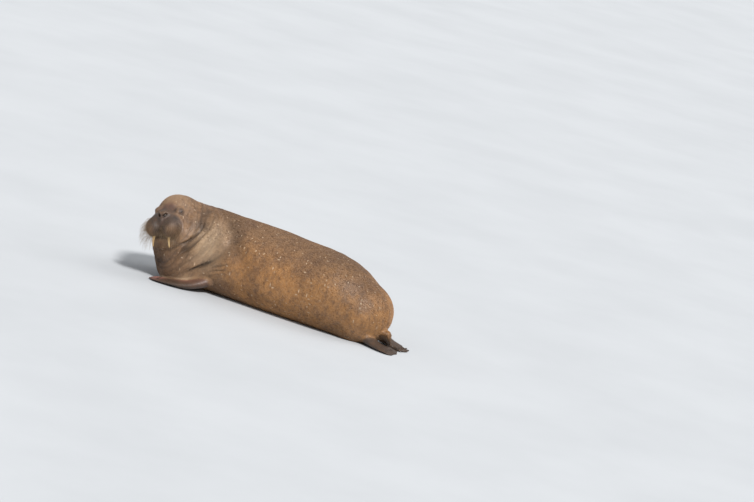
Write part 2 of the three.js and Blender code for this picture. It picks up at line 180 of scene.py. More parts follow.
# The folds of the face lie in the head's frame.
BROW_FOLDS = (
    Crease(((22, 116, -3), (0, 124, -5), (-26, 133, -9), (-56, 141, -15)), 3.6, 5.0),
    Crease(((84, 30, 30), (66, 66, 38), (36, 100, 36), (4, 120, 26)), 2.6, 4.0),
    Crease(((72, 0, 62), (62, 40, 62), (36, 80, 60), (0, 112, 50)), 2.6, 4.5),
    Crease(((50, 0, 84), (40, 44, 82), (12, 84, 78)), 2.0, 4.5),
    Crease(((60, 90, -22), (36, 112, -26), (8, 122, -26), (-20, 128, -22)), 2.4, 4.0),
)


def unit(v: Points) -> Points:
    """Vectors brought to length one, row by row."""
    return v / np.maximum(np.linalg.norm(v, axis=-1, keepdims=True), 1e-9)


def whisker_ways(count: int) -> Points:
    """Unit directions from a pad's middle to where its whiskers grow, wound round it from its front."""
    spin = np.arange(count) * GOLDEN_TURN
    opening = 1.32 * np.sqrt((np.arange(count) + 0.5) / count)
    across, rise = np.cos(spin) * np.sin(opening), np.sin(spin) * np.sin(opening)
    return unit(np.column_stack([np.cos(opening) + 0.12, across + 0.18, rise - 0.14]))


def bell(away: Points, width: float) -> Points:
    """One at no distance, falling off smoothly past the width."""
    return np.exp(-((away / width) ** 2))


def folded(p: Points) -> Points:
    """Places with the animal's right half laid over its left."""
    return np.abs(p) * [0, 1, 0] + p * [1, 0, 1]


def smooth_step(value: Points, low: float, high: float) -> Points:
    """Rises from 0 at low to 1 at high, level at both ends."""
    t = np.clip((value - low) / (high - low), 0.0, 1.0)
    return t * t * (3.0 - 2.0 * t)


def ellipsoid(p: Points, at: Point, size: Point) -> Points:
    """Distance from an ellipsoid's surface, negative inside.

    Args:
        p: Points, one a row.
        at: The ellipsoid's centre.
        size: Its three half sizes.

    Returns:
        One distance for each point.
    """
    q = (p - np.array(at)) / np.array(size, float)
    near = np.linalg.norm(q, axis=1)
    steep = np.linalg.norm(q / np.array(size, float), axis=1)
    return near * (near - 1.0) / np.maximum(steep, 1e-9)


def round_cone(p: Points, a: Points, b: Points, ra: float, rb: float) -> Points:
    """Distance from the hull of two balls, negative inside.

    Args:
        p: Points, one a row.
        a: The first ball's centre.
        b: The second ball's centre.
        ra: The first ball's radius.
        rb: The second ball's radius.

    Returns:
        One distance for each point.
    """
    axis = b - a
    away = p - a
    length2 = float(axis @ axis)
    narrowing = ra - rb
    slant2 = length2 - narrowing * narrowing
    y = away @ axis
    z = y - length2
    x2 = ((away * length2 - axis * y[:, None]) ** 2).sum(axis=1)
    y2 = y * y * length2
    z2 = z * z * length2
    k = math.copysign(1.0, narrowing) * narrowing * narrowing * x2
    side = (np.sqrt(x2 * slant2 / length2) + y * narrowing) / length2 - ra
    past_a = np.sqrt(x2 + y2) / length2 - ra
    past_b = np.sqrt(x2 + z2) / length2 - rb
    d = np.where(np.sign(y) * slant2 * y2 < k, past_a, side)
    return np.where(np.sign(z) * slant2 * z2 > k, past_b, d)


def blend(a: Points, b: Points, width: float) -> Points:
    """The lower of two distances, rounded where they meet."""
    h = np.maximum(width - np.abs(a - b), 0.0) / width
    return np.minimum(a, b) - h * h * width / 4.0


class Spline:
    """A smooth line through a few points; even spacing suits sizes and uneven spacing suits places."""

    def __init__(self, points: Iterable[Sequence[float]], even: bool = False) -> None:
        """Keeps the points, with one more put before and behind them."""
        inner = np.array(list(points), float)
        first = inner[0] if even else 2 * inner[0] - inner[1]
        last = inner[-1] if even else 2 * inner[-1] - inner[-2]
        self.points = np.vstack([first, inner, last])
        self.even = even

    def at(self, t: Points) -> Points:
        """Places on the line at shares t of its stations, from 0 to 1."""
        spans = len(self.points) - 3
        s = np.clip(t, 0.0, 1.0) * spans
        k = np.minimum(s.astype(int), spans - 1)
        w = (s - k)[:, None]
        p0, p1, p2, p3 = (self.points[k + i] for i in range(4))
        if self.even:
            m1, m2 = (p2 - p0) / 2, (p3 - p1) / 2
        else:
            gaps = (p1 - p0, p2 - p1, p3 - p2)
            d0, d1, d2 = (np.sqrt(np.linalg.norm(gap, axis=1, keepdims=True)) for gap in gaps)
            m1 = ((p1 - p0) / d0 - (p2 - p0) / (d0 + d1) + (p2 - p1) / d1) * d1
            m2 = ((p2 - p1) / d1 - (p3 - p1) / (d1 + d2) + (p3 - p2) / d2) * d1
        return p1 + m1 * w + (3 * (p2 - p1) - 2 * m1 - m2) * w**2 + (2 * (p1 - p2) + m1 + m2) * w**3

    def way(self, t: Points) -> Points:
        """Unit directions along the line at shares t."""
        step = 1e-3
        return unit(self.at(np.minimum(t + step, 1.0)) - self.at(np.maximum(t - step, 0.0)))


def refined(stations: Sequence[tuple[Point, float]], parts: int) -> tuple[Points, Points]:
    """Stations with smooth ones put between, as centres and radii."""
    t = np.linspace(0.0, 1.0, (len(stations) - 1) * parts + 1)
    centres = Spline(at for at, _ in stations).at(t)
    radii = Spline(([r] for _, r in stations), even=True).at(t)[:, 0]
    return centres, radii


def chain(p: Points, stations: tuple[Points, Points]) -> Points:
    """Distance from a row of joined round cones."""
    centres, radii = stations
    d = np.full(len(p), np.inf)
    for i in range(len(centres) - 1):
        d = np.minimum(d, round_cone(p, centres[i], centres[i + 1], radii[i], radii[i + 1]))
    return d


def distance_to_line(p: Points, line: Sequence[Point]) -> tuple[Points, Points]:
    """How far points are from a line of straight stretches, and how far along it each one's foot lies.

    Args:
        p: Points, one a row.
        line: The line's corners.

    Returns:
        Distances, and shares of the line's length from 0 to 1.
    """
    corners = Spline(line).at(np.linspace(0.0, 1.0, (len(line) - 1) * 3 + 1))
    steps = np.linalg.norm(np.diff(corners, axis=0), axis=1)
    run = np.concatenate([[0.0], np.cumsum(steps)])
    best = np.full(len(p), np.inf)
    share = np.zeros(len(p))
    for i, step in enumerate(steps):
        way = (corners[i + 1] - corners[i]) / step
        foot = np.clip((p - corners[i]) @ way, 0.0, step)
        d = np.linalg.norm(p - corners[i] - foot[:, None] * way, axis=1)
        nearer = d < best
        best = np.where(nearer, d, best)
        share = np.where(nearer, (run[i] + foot) / run[-1], share)
    return best, share


class HeadFrame:
    """Turns places between the body's frame and the head's own frame."""

    def __init__(self) -> None:
        """Works out the head's three axes from its turn, pitch and roll."""
        turn, pitch, roll = (math.radians(a) for a in (180 + HEAD_TURN, -HEAD_PITCH, HEAD_ROLL))
        (cz, cy, cx), (sz, sy, sx) = ([way(a) for a in (turn, pitch, roll)] for way in (math.cos, math.sin))
        about_z = np.array([[cz, -sz, 0], [sz, cz, 0], [0, 0, 1]])
        about_y = np.array([[cy, 0, sy], [0, 1, 0], [-sy, 0, cy]])
        about_x = np.array([[1, 0, 0], [0, cx, -sx], [0, sx, cx]])
        self.axes = about_z @ about_y @ about_x
        self.at = np.array(HEAD_AT, float)

    def into(self, p: Points) -> Points:
        """Body places as head places."""
        return (p - self.at) @ self.axes

    def out(self, q: Points) -> Points:
        """Head places as body places."""
        return np.asarray(q, float) @ self.axes.T + self.at

    def out_way(self, q: Points) -> Points:
        """Directions of the head's frame as directions of the body's frame."""
        return np.asarray(q, float) @ self.axes.T


HEAD = HeadFrame()


def mirrored(q: Sequence[float], side: Side) -> Points:
    """A place of the head's frame on one side."""
    return np.array([q[0], q[1] * side.value, q[2]], float)


def solids_shift() -> Points:
    """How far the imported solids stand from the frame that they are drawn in, from the left eye's place."""
    low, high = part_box("eye_left")
    return np.array((low + high) / 2) / MM - HEAD.out(np.array(EYE, float))


SHIFT = solids_shift()


def to_metres(p: Points) -> Points:
    """Drawing places in millimetres as scene places in metres."""
    return (p + SHIFT) * MM


def to_drawing(p: Points) -> Points:
    """Scene places in metres as drawing places in millimetres."""
    return p / MM - SHIFT


class Flesh:
    """The smooth body and head that the solids are cut from, as a distance that is negative inside."""

    def __init__(self) -> None:
        """Puts smooth stations between the named ones."""
        self.trunk = refined(TRUNK, 4)
        self.neck = refined(NECK, 3)
        self.throat = refined(THROAT, 2)

    def head(self, p: Points) -> Points:
        """Distance from the head."""
        q = HEAD.into(p)
        half = folded(q)
        d = ellipsoid(q, *SKULL)
        for place, form, width in (
            (q, SNOUT, 50),
            (half, CHEEK, 40),
            (q, JAW, 30),
            (half, BROW, 20),
            (half, PAD, 26),
            (q, NOSE, 20),
        ):
            d = blend(d, ellipsoid(place, *form), width)
        return d

    def body(self, p: Points) -> Points:
        """Distance from the trunk, neck, throat, shoulders and tail."""
        q = p / np.array([1, BODY_WIDENING, 1])
        d = blend(chain(q, self.trunk), chain(q, self.neck), FLESH_BLEND)
        d = blend(d, chain(q, self.throat), FLESH_BLEND)
        d = blend(d, ellipsoid(folded(p), *SHOULDER), SHOULDER_BLEND)
        return blend(d, ellipsoid(p, *TAIL), TAIL_BLEND)

    def valleys(self, p: Points) -> Points:
        """How deep the broad folds are."""
        depth = np.zeros(len(p))
        for valley in VALLEYS:
            a, b, c = (np.array(q, float) for q in valley.through)
            normal = unit(np.cross(b - a, c - a))
            away = p - b
            across = np.abs(away @ normal) / valley.width
            fade = np.exp(-((np.linalg.norm(away, axis=1) / valley.run) ** 4))
            depth += valley.depth * fade * (bell(across, 1) - 0.3 * bell(across - 2, 1))
        return depth

    def distance(self, p: Points) -> Points:
        """Distance from the whole skin without the flippers."""
        return blend(self.body(p), self.head(p), NECK_BLEND) + self.valleys(p)

    def gradient(self, p: Points) -> Points:
        """The way out of the flesh at each point, of length one where the distance is true."""
        step = 1.0
        corners = np.array([[1, -1, -1], [-1, -1, 1], [-1, 1, -1], [1, 1, 1]], float)
        return sum(k * self.distance(p + step * k)[:, None] for k in corners) / (4 * step)


def linked(name: str, data: bpy.types.ID) -> bpy.types.Object:
    """A new object at the origin, in the scene."""
    obj = bpy.data.objects.new(name, data)
    bpy.context.scene.collection.objects.link(obj)
    return obj


def object_from(name: str, bm: bmesh.types.BMesh, smooth: bool = True) -> bpy.types.Object:
    """Writes a bmesh that is already in metres to a new object at the origin, and frees it."""
    mesh = bpy.data.meshes.new(name)
    bm.to_mesh(mesh)
    bm.free()
    if smooth:
        mesh.shade_smooth()
    return linked(name, mesh)


def ball(at: Point, size: Point) -> tuple[bmesh.types.BMesh, Points]:
    """An icosphere's bmesh and the places of its vertices on an ellipsoid."""
    bm = bmesh.new()
    bmesh.ops.create_icosphere(bm, subdivisions=4, radius=1.0)
    return bm, vertex_places(bm) * np.array(size, float) + np.array(at, float)


def place_vertices(bm: bmesh.types.BMesh, places: Points) -> None:
    """Moves a bmesh's vertices to places in metres, in their order."""
    for vert, place in zip(bm.verts, places):
        vert.co = place


def vertex_places(bm: bmesh.types.BMesh) -> Points:
    """A bmesh's vertices as an array."""
    return np.array([v.co for v in bm.verts], float)


@dataclass
class Paddle:
    """One flipper laid along its stations, with a ridge for each digit and a scalloped edge."""

    stations: Sequence[tuple[Point, float, float]]
    side: Side
    spread: float
    swing: float = 0.0
    around: int = 72
    rows: int = 56
    claw_row: float = 0.82
    claw_sunk: float = 0.5

    def __post_init__(self) -> None:
        """Lays the middle line and the half widths and thicknesses along it."""
        self.places = [self.placed(at) for at, _, _ in self.stations]
        self.line = Spline(self.places)
        self.sizes = Spline((i, wide, thick) for i, (_, wide, thick) in enumerate(self.stations))

    def placed(self, at: Point) -> Points:
        """A station's place on this side, with the hind flippers swung to the animal's left."""
        aside = self.swing * max(at[0] - HIND_SWING_PAST, 0.0)
        return np.array([at[0], -at[1] * self.side.value - aside, at[2]], float)

    def shape(self) -> bmesh.types.BMesh:
        """The flipper as a closed bmesh in drawing millimetres."""
        bm = bmesh.new()
        bmesh.ops.create_uvsphere(bm, u_segments=self.around, v_segments=self.rows, radius=1.0)
        ball = vertex_places(bm)
        share = np.arccos(np.clip(ball[:, 2], -1, 1)) / math.pi
        turn = np.arctan2(ball[:, 1], ball[:, 0])
        place_vertices(bm, self.surface(turn, share))
        bmesh.ops.recalc_face_normals(bm, faces=bm.faces)
        return bm

    def surface(self, turn: Points, share: Points) -> Points:
        """Places on the flipper, where turn goes round it and share runs from its root to its tip."""
        t = np.clip((share - 0.04) / 0.9, 0.0, 1.0)
        centre, tangent, size = self.line.at(t), self.line.way(t), self.sizes.at(t)
        across = unit(np.column_stack([-tangent[:, 1], tangent[:, 0], np.zeros(len(t))]))
        close = np.sqrt(np.clip(1 - np.maximum(0.06 - share, 0) * 16, 0, 1))
        close = close * np.sqrt(np.clip((1 - share) * 16, 0, 1))
        u = np.cos(turn)
        digit = 0.5 - 0.5 * np.cos((u * 0.5 + 0.5) * DIGITS * 2 * math.pi)
        far = smooth_step(t, 0.45, 0.9)
        thick = size[:, 2] * (1 - far * 0.32 * (1 - digit))
        p = centre + across * (u * size[:, 1] * close)[:, None]
        p += tangent * (far * self.spread * (digit * 0.35 + u * u * 0.25) * close)[:, None]
        p[:, 2] = np.maximum(p[:, 2] + np.sin(turn) * thick * close, 0.0)
        return p

    def claw_roots(self, forward: float) -> tuple[Points, Points]:
        """Where the claws grow on the upper side near the end, and the way they point."""
        _, wide, thick = self.stations[-2]
        last, before = self.places[-2], self.places[-3]
        way = unit((last - before) * np.array([1, 1, 0]))
        across = np.array([-way[1], way[0], 0])
        u = ((np.arange(DIGITS) + 0.5) / DIGITS * 2 - 1) * self.claw_row
        roots = last + across * (u * wide)[:, None] + way * forward
        roots[:, 2] = last[2] + thick * np.sqrt(1 - u**2) - self.claw_sunk
        return roots, way


@dataclass
class Skin:
    """The one skin over all the flesh: remeshed from the solids, drawn tight over the field, then carved."""

    flesh: Flesh
    paddles: Sequence[Paddle]
    voxel: float = 12.0
    nodes: tuple[str, ...] = ("head", "lower_jaw", "neck", "shoulders", "torso", "rump")
    pairs: tuple[str, ...] = ("whisker_pad", "foreflipper", "hindflipper")
    flipper_blend: float = 30.0
    solid_swell: float = 0.8
    paddle_swell: float = 5.0
    filler_inset: float = 1.5
    longest_step: float = 15.0
    flipper_boxes: tuple[tuple[Point, Point], ...] = (
        ((-960, -560, -40), (-250, 560, 240)),
        ((930, -560, -40), (1600, 560, 240)),
    )
    trees: list[BVHTree] = field(default_factory=list)

    @property
    def stands_for(self) -> list[str]:
        """The solids that the skin takes the place of."""
        return [*self.nodes, *(f"{pair}_{side.word}" for pair in self.pairs for side in Side), "tail"]

    def source(self) -> bmesh.types.BMesh:
        """The solids of the flesh and what fills the thin cuts between them, in one bmesh in metres."""
        bm = bmesh.new()
        for name in self.nodes:
            piece = bmesh.new()
            piece.from_mesh(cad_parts[name].data)
            bmesh.ops.remove_doubles(piece, verts=piece.verts, dist=1e-6)
            for vert in piece.verts:
                vert.co += vert.normal * self.solid_swell * MM
            self.add(bm, piece)
        for at, size in self.fillers():
            piece, places = ball(at, size)
            place_vertices(piece, to_metres(HEAD.out(places)))
            bmesh.ops.recalc_face_normals(piece, faces=piece.faces)
            self.add(bm, piece)
        tail, places = ball(*TAIL)
        place_vertices(tail, to_metres(places))
        self.add(bm, tail)
        for paddle in self.paddles:
            piece = paddle.shape()
            self.trees.append(BVHTree.FromBMesh(piece))
            places = vertex_places(piece) + np.array([v.normal for v in piece.verts]) * self.paddle_swell
            place_vertices(piece, to_metres(places))
            self.add(bm, piece)
        return bm

    @staticmethod
    def add(whole: bmesh.types.BMesh, piece: bmesh.types.BMesh) -> None:
        """Puts a closed piece into the whole and frees it."""
        mesh = bpy.data.meshes.new("passing")
        piece.to_mesh(mesh)
        piece.free()
        whole.from_mesh(mesh)
        bpy.data.meshes.remove(mesh)

    def fillers(self) -> list[tuple[Points, Points]]:
        """Balls in the head's frame that close the eye sockets, the mouth and the cuts round the pads."""
        balls = [SKULL, SNOUT, JAW, NOSE]
        for side in Side:
            balls += [(mirrored(at, side), size) for at, size in (PAD, CHEEK, BROW)]
        balls.append(((80, 0, -180), (80, 80, 60)))
        return [(np.array(at, float), np.array(size, float) - self.filler_inset) for at, size in balls]

    def remeshed(self) -> bpy.types.Object:
        """One closed surface of even faces over all the source pieces."""
        rough = object_from("rough", self.source())
        modifier = rough.modifiers.new("wrap", "REMESH")
        modifier.mode = "VOXEL"
        modifier.voxel_size = self.voxel * MM
        modifier.adaptivity = 0.0
        mesh = bpy.data.meshes.new_from_object(rough.evaluated_get(bpy.context.evaluated_depsgraph_get()))
        skin = linked("skin", mesh)
        spare = rough.data
        bpy.data.objects.remove(rough)
        bpy.data.meshes.remove(spare)
        return skin

    @staticmethod
    def largest_shell(bm: bmesh.types.BMesh) -> None:
        """Deletes every closed shell but the one with the most vertices, such as a sealed hollow inside."""
        left = set(bm.verts)
        shells = []
        while left:
            stack = [left.pop()]
            shell = set(stack)
            while stack:
                for edge in stack.pop().link_edges:
                    for vert in edge.verts:
                        if vert not in shell:
                            shell.add(vert)
                            stack.append(vert)
            left -= shell
            shells.append(shell)
        keep = max(shells, key=len)
        drop = [v for shell in shells if shell is not keep for v in shell]
        bmesh.ops.delete(bm, geom=drop, context="VERTS")

    def split_where(self, bm: bmesh.types.BMesh, inside: Callable[[Points], Points]) -> None:
        """Splits the faces whose corners lie in a region into four."""
        mask = inside(to_drawing(vertex_places(bm)))
        bm.verts.index_update()
        edges = [e for e in bm.edges if mask[e.verts[0].index] and mask[e.verts[1].index]]
        bmesh.ops.subdivide_edges(bm, edges=edges, cuts=1, use_grid_fill=True)

    @staticmethod
    def relaxed(p: Points, edges: Points, steps: int, share: float) -> Points:
        """Points drawn toward the middle of their neighbours."""
        ends = np.concatenate([edges, edges[:, ::-1]])
        count = np.bincount(ends[:, 0], minlength=len(p))[:, None]
        for _ in range(steps):
            total = np.column_stack(
                [np.bincount(ends[:, 0], weights=p[ends[:, 1], i], minlength=len(p)) for i in range(3)]
            )
            p = p + share * (total / np.maximum(count, 1) - p)
        return p

    def tight(self, p: Points, steps: int) -> Points:
        """Points drawn to the level where the flesh and the flippers end, and never below the floor."""
        by_flipper = np.zeros(len(p), bool)
        for low, high in self.flipper_boxes:
            by_flipper |= np.all((p > low) & (p < high), axis=1)
        near = np.nonzero(by_flipper)[0]
        for _ in range(steps):
            d = self.flesh.distance(p)
            g = self.flesh.gradient(p)
            step = d[:, None] * g / np.maximum((g * g).sum(axis=1, keepdims=True), 0.25)
            paddle_d, paddle_way = self.paddle_distance(p[near])
            h = np.clip(0.5 + 0.5 * (paddle_d - d[near]) / self.flipper_blend, 0.0, 1.0)
            both = paddle_d * (1 - h) + d[near] * h - self.flipper_blend * h * (1 - h)
            way = paddle_way * (1 - h)[:, None] + unit(g[near]) * h[:, None]
            step[near] = both[:, None] * unit(way)
            length = np.linalg.norm(step, axis=1, keepdims=True)
            p = p - step * np.minimum(1.0, self.longest_step / np.maximum(length, 1e-6))
            p[:, 2] = np.maximum(p[:, 2], 0.0)
        return p

    def paddle_distance(self, p: Points) -> tuple[Points, Points]:
        """Distance from the nearest flipper, negative inside, and the way out of it."""
        best = np.full(len(p), 1e3)
        ways = np.tile([0.0, 0.0, 1.0], (len(p), 1))
        for tree in self.trees:
            for i, place in enumerate(p):
                found, normal, _, gap = tree.find_nearest(Vector(place), 90.0)
                if found is None:
                    continue
                away = Vector(place) - found
                signed = math.copysign(gap, away.dot(normal))
                if signed < best[i]:
                    best[i] = signed
                    ways[i] = away / signed if gap > 0.5 else normal
        return best, ways

    def make(self) -> bpy.types.Object:
        """Builds, refines and carves the skin, and writes its marks and painted light.

        Returns:
            The finished skin.
        """
        skin = self.remeshed()
        bm = bmesh.new()
        bm.from_mesh(skin.data)
        self.largest_shell(bm)
        log.info("remeshed to %d vertices", len(bm.verts))
        self.settle(bm, relax=8, steps=2)
        regions = (self.by_head_or_flipper, self.by_face, self.by_eye)
        for region in regions:
            self.split_where(bm, region)
            self.settle(bm, relax=2, steps=2)
        log.info("refined to %d vertices", len(bm.verts))
        self.settle(bm, relax=0, steps=2)
        bm.normal_update()
        p = to_drawing(vertex_places(bm))
        carving = Carving(p, np.array([v.normal for v in bm.verts], float), self.flesh)
        place_vertices(bm, to_metres(carving.carved()))
        bmesh.ops.recalc_face_normals(bm, faces=bm.faces)
        bm.to_mesh(skin.data)
        bm.free()
        Markings(carving).write(skin.data)
        skin.data.shade_smooth()
        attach(skin, "root")
        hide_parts(*self.stands_for)
        return skin

    def settle(self, bm: bmesh.types.BMesh, relax: int, steps: int) -> None:
        """Evens the vertices out and draws them tight over the flesh."""
        bm.verts.index_update()
        p = to_drawing(vertex_places(bm))
        edges = np.array([[v.index for v in e.verts] for e in bm.edges])
        if relax:
            even = self.relaxed(p, edges, relax, 0.5)
            head_or_trunk = self.flesh.distance(p) < self.flipper_blend
            p = np.where(head_or_trunk[:, None], even, self.relaxed(p, edges, 1, 0.3))
        place_vertices(bm, to_metres(self.tight(p, steps)))

    @staticmethod
    def by_head_or_flipper(p: Points) -> Points:
        """The head, the neck's folds and the flippers."""
        q = HEAD.into(p)
        head = np.linalg.norm(q - np.array([-20, 30, -130]), axis=1) < 330
        fore = (p[:, 0] < -470) & (np.abs(p[:, 1]) > 270) & (p[:, 2] < 110)
        hind = (p[:, 0] > 1030) & (p[:, 2] < 110)
        return head | fore | hind

    @staticmethod
    def by_face(p: Points) -> Points:
        """The muzzle, the mouth and the eyes."""
        q = HEAD.into(p)
        muzzle = np.linalg.norm((q - np.array([120, 0, -120])) / np.array([110, 170, 150]), axis=1) < 1
        eyes = np.linalg.norm(folded(q) - np.array([20, 120, 0]), axis=1) < 75
        return muzzle | eyes

    @staticmethod
    def by_eye(p: Points) -> Points:
        """A patch round each eye and over the nostrils."""
        half = folded(HEAD.into(p))
        eye = np.linalg.norm(half - np.array(EYE), axis=1) < 46
        nostril = np.linalg.norm(half - np.array([153, 26, -23]), axis=1) < 34
        return eye | nostril


class Carving:
    """The folds, lids, nostrils, mouth and wrinkles that are carved into the drawn skin."""

    def __init__(self, p: Points, normals: Points, flesh: Flesh) -> None:
        """Keeps the skin's places and the places in the head's frame.

        Args:
            p: The skin's places in drawing millimetres.
            normals: The skin's unit normals.
            flesh: The field that the skin is drawn over.
        """
        self.p = p
        self.normals = normals
        self.q = HEAD.into(p)
        self.half = folded(self.q)
        self.mirror = folded(p)
        self.flesh = flesh
        self.head_share = smooth_step(flesh.body(p) - flesh.head(p), -20, 60)
        self.off_body = smooth_step(np.minimum(flesh.body(p), flesh.head(p)), 12, 40)
        # Where painted shade goes: into the folds, grooves and pits, and into the openings.
        self.fold = np.zeros(len(p))
        self.opening = np.zeros(len(p))

    def carved(self) -> Points:
        """The skin's places with every form carved in."""
        depth = self.creases() + self.wrinkles() + self.muscles()
        depth += self.mouth() + self.nostrils() + self.ears()
        depth += self.brows() + self.follicles()
        p = self.p + self.normals * depth[:, None]
        p = self.lids(p)
        p[:, 2] = np.maximum(p[:, 2], 0.0)
        return p

    def creases(self) -> Points:
        """The narrow folds, each a groove with a swelling at either side."""
        rise = np.zeros(len(self.p))
        for crease in CREASES:
            d, share = distance_to_line(self.p, crease.line)
            ends = np.sin(math.pi * np.clip(share, 0.0, 1.0)) ** 0.8
            groove = bell(d, crease.width) * ends
            swell = bell(d - 2.3 * crease.width, 1.3 * crease.width) * ends
            rise += crease.depth * (0.4 * swell - groove)
            # Painted shade in the groove.
            self.fold = np.maximum(self.fold, groove * min(crease.depth / 15.0, 1.0))
        return rise

    def wrinkles(self) -> Points:
        """Rings of small folds round the neck and throat, and fine ones over the face and flippers."""
        a, b, c = (np.array(q, float) for q in VALLEYS[0].through)
        axis = unit(np.cross(b - a, c - a))
        along = (self.p - b) @ axis
        neck = bell(along, 190) * (1 - 0.75 * self.head_share) * (1 - self.off_body)
        neck *= smooth_step(self.p[:, 2], 30, 160)
        side = unit(np.cross(axis, [0.0, 0.0, 1.0]))
        rise = np.cross(side, axis)
        out = np.zeros(len(self.p))
        for i in np.nonzero(neck > 0.03)[0]:
            place = Vector((along[i] / 34, self.p[i] @ side / 210, self.p[i] @ rise / 210))
            ridge = 1 - abs(noise.noise(place)) * 2.2
            out[i] = -4.5 * neck[i] * max(ridge, 0) ** 2
        # Painted shade in the wrinkles.
        self.fold = np.maximum(self.fold, np.clip(-out / 7, 0, 0.5))
        return out

    def muscles(self) -> Points:
        """Slow swells of muscle and blubber over the trunk."""
        out = np.zeros(len(self.p))
        calm = (1 - self.head_share) * (1 - self.off_body)
        for i, place in enumerate(self.p):
            swell = noise.noise(Vector((place[0] / 260, place[1] / 180, place[2] / 180)))
            ripple = noise.noise(Vector((place[0] / 70, place[1] / 90 + 7, place[2] / 90)))
            out[i] = calm[i] * (5.0 * swell + 1.6 * ripple)
        return out * smooth_step(self.p[:, 2], 0, 90)

    def mouth(self) -> Points:
        """The line of the mouth between the pads and the lower jaw, and the notch between the pads."""
        x, y, z = self.half.T
        line = MOUTH_HEIGHT + 14 * bell(y, 26) - 8 * smooth_step(y, 40, 100)
        front = smooth_step(x, 20, 60) * (1 - smooth_step(y, 96, 122))
        groove = bell(z - line, 8) * front
        front = smooth_step(x, 90, 135)
        bridge = bell(y, 20) * front * smooth_step(-z, 30, 60) * smooth_step(z, -165, -105)
        notch = bell(y, 11) * front * smooth_step(-z, 120, 165) * smooth_step(z, -226, -200)
        # Painted shade in the mouth's groove and the notch between the pads.
        self.opening = np.maximum(self.opening, groove * 0.9)
        self.fold = np.maximum(self.fold, np.maximum(groove, notch))
        return 11 * bridge - 22 * groove - 12 * notch

    def brows(self) -> Points:
        """Small folds over each eye, across the forehead, and back from the eye's outer corner."""
        out = np.zeros(len(self.p))
        for fold in BROW_FOLDS:
            d, share = distance_to_line(self.half, fold.line)
            groove = bell(d, fold.width) * np.sin(math.pi * np.clip(share, 0.05, 0.95)) ** 0.5
            out -= fold.depth * groove
            # Painted shade in the brow's folds.
            self.fold = np.maximum(self.fold, groove * min(fold.depth / 3.5, 1.0))
        return out

    def follicles(self) -> Points:
        """The pits that the whiskers grow from, with the swollen skin between them."""
        at, size = (np.array(v, float) for v in PAD)
        way = whisker_ways(WHISKERS)
        roots = at + way / np.linalg.norm(way / size, axis=1, keepdims=True)
        near = np.nonzero(np.abs(ellipsoid(self.half, *PAD)) < 14)[0]
        gap = np.full(len(near), np.inf)
        for root in roots:
            gap = np.minimum(gap, np.linalg.norm(self.half[near] - root, axis=1))
        out = np.zeros(len(self.p))
        swell = bell(gap - 7.5, 3)
        pit = bell(gap, 3.2)
        out[near] = 1.1 * swell - 2.2 * pit
        # Painted shade in the whisker pits.
        self.fold[near] = np.maximum(self.fold[near], 0.5 * pit)
        return out

    def nostrils(self) -> Points:
        """Two open nostrils with a raised rim."""
        d, _ = distance_to_line(self.half, NOSTRIL)
        hole = 1 - smooth_step(d, 7, 13)
        rim = bell(d - 17, 5)
        # Painted shade in the nostrils.
        self.opening = np.maximum(self.opening, hole)
        return -20 * hole + 3.0 * rim

    def ears(self) -> Points:
        """The small ear openings, with no flap."""
        d = np.linalg.norm(self.half - np.array(EAR), axis=1)
        hole = 1 - smooth_step(d, 6, 15)
        # Painted shade in the ear openings.
        self.opening = np.maximum(self.opening, hole)
        return -8 * hole + 1.5 * bell(d - 18, 5)

    def lids(self, p: Points) -> Points:
        """Lids drawn over each eyeball and the slit between them."""
        for side in Side:
            centre = HEAD.out(mirrored(EYE, side))
            local = self.q - mirrored(EYE, side)
            x, y, z = local[:, 0], local[:, 1] * side.value, local[:, 2]
            outer = y > 0
            half_height = LID_OPENING[1] * np.clip(1 - ((x - 1) / LID_OPENING[0]) ** 2, 0, None)
            inside = np.where(z > 0, z - half_height, -z - half_height * 0.8)
            slit = (1 - smooth_step(inside, -1.8, 1.4)) * outer * (np.abs(x - 1) < LID_OPENING[0])
            ring = bell(inside - 3.0, 2.6) * outer * (np.linalg.norm(local, axis=1) < 34)
            away = p - centre
            distance = np.linalg.norm(away, axis=1)
            way = away / np.maximum(distance, 1e-6)[:, None]
            lid_radius = EYE_RADIUS + LID_THICKNESS + 2.2 * ring
            over = np.where((distance < lid_radius) & outer, lid_radius, distance)
            lid = centre + way * over[:, None]
            open_at = centre + way * (EYE_RADIUS - 6.0)
            p = np.where(slit[:, None] > 0, lid * (1 - slit[:, None]) + open_at * slit[:, None], lid)
            # Painted shade in the eye's slit.
            self.opening = np.maximum(self.opening, slit * 0.8)
            folds = bell(distance - 29, 3.5) + 0.7 * bell(distance - 38, 4)
            folds = folds * outer * (distance < 60)
            p = p - self.normals * (2.6 * folds)[:, None]
            # Painted shade in the folds round the eye.
            self.fold = np.maximum(self.fold, 0.6 * folds)
        return p


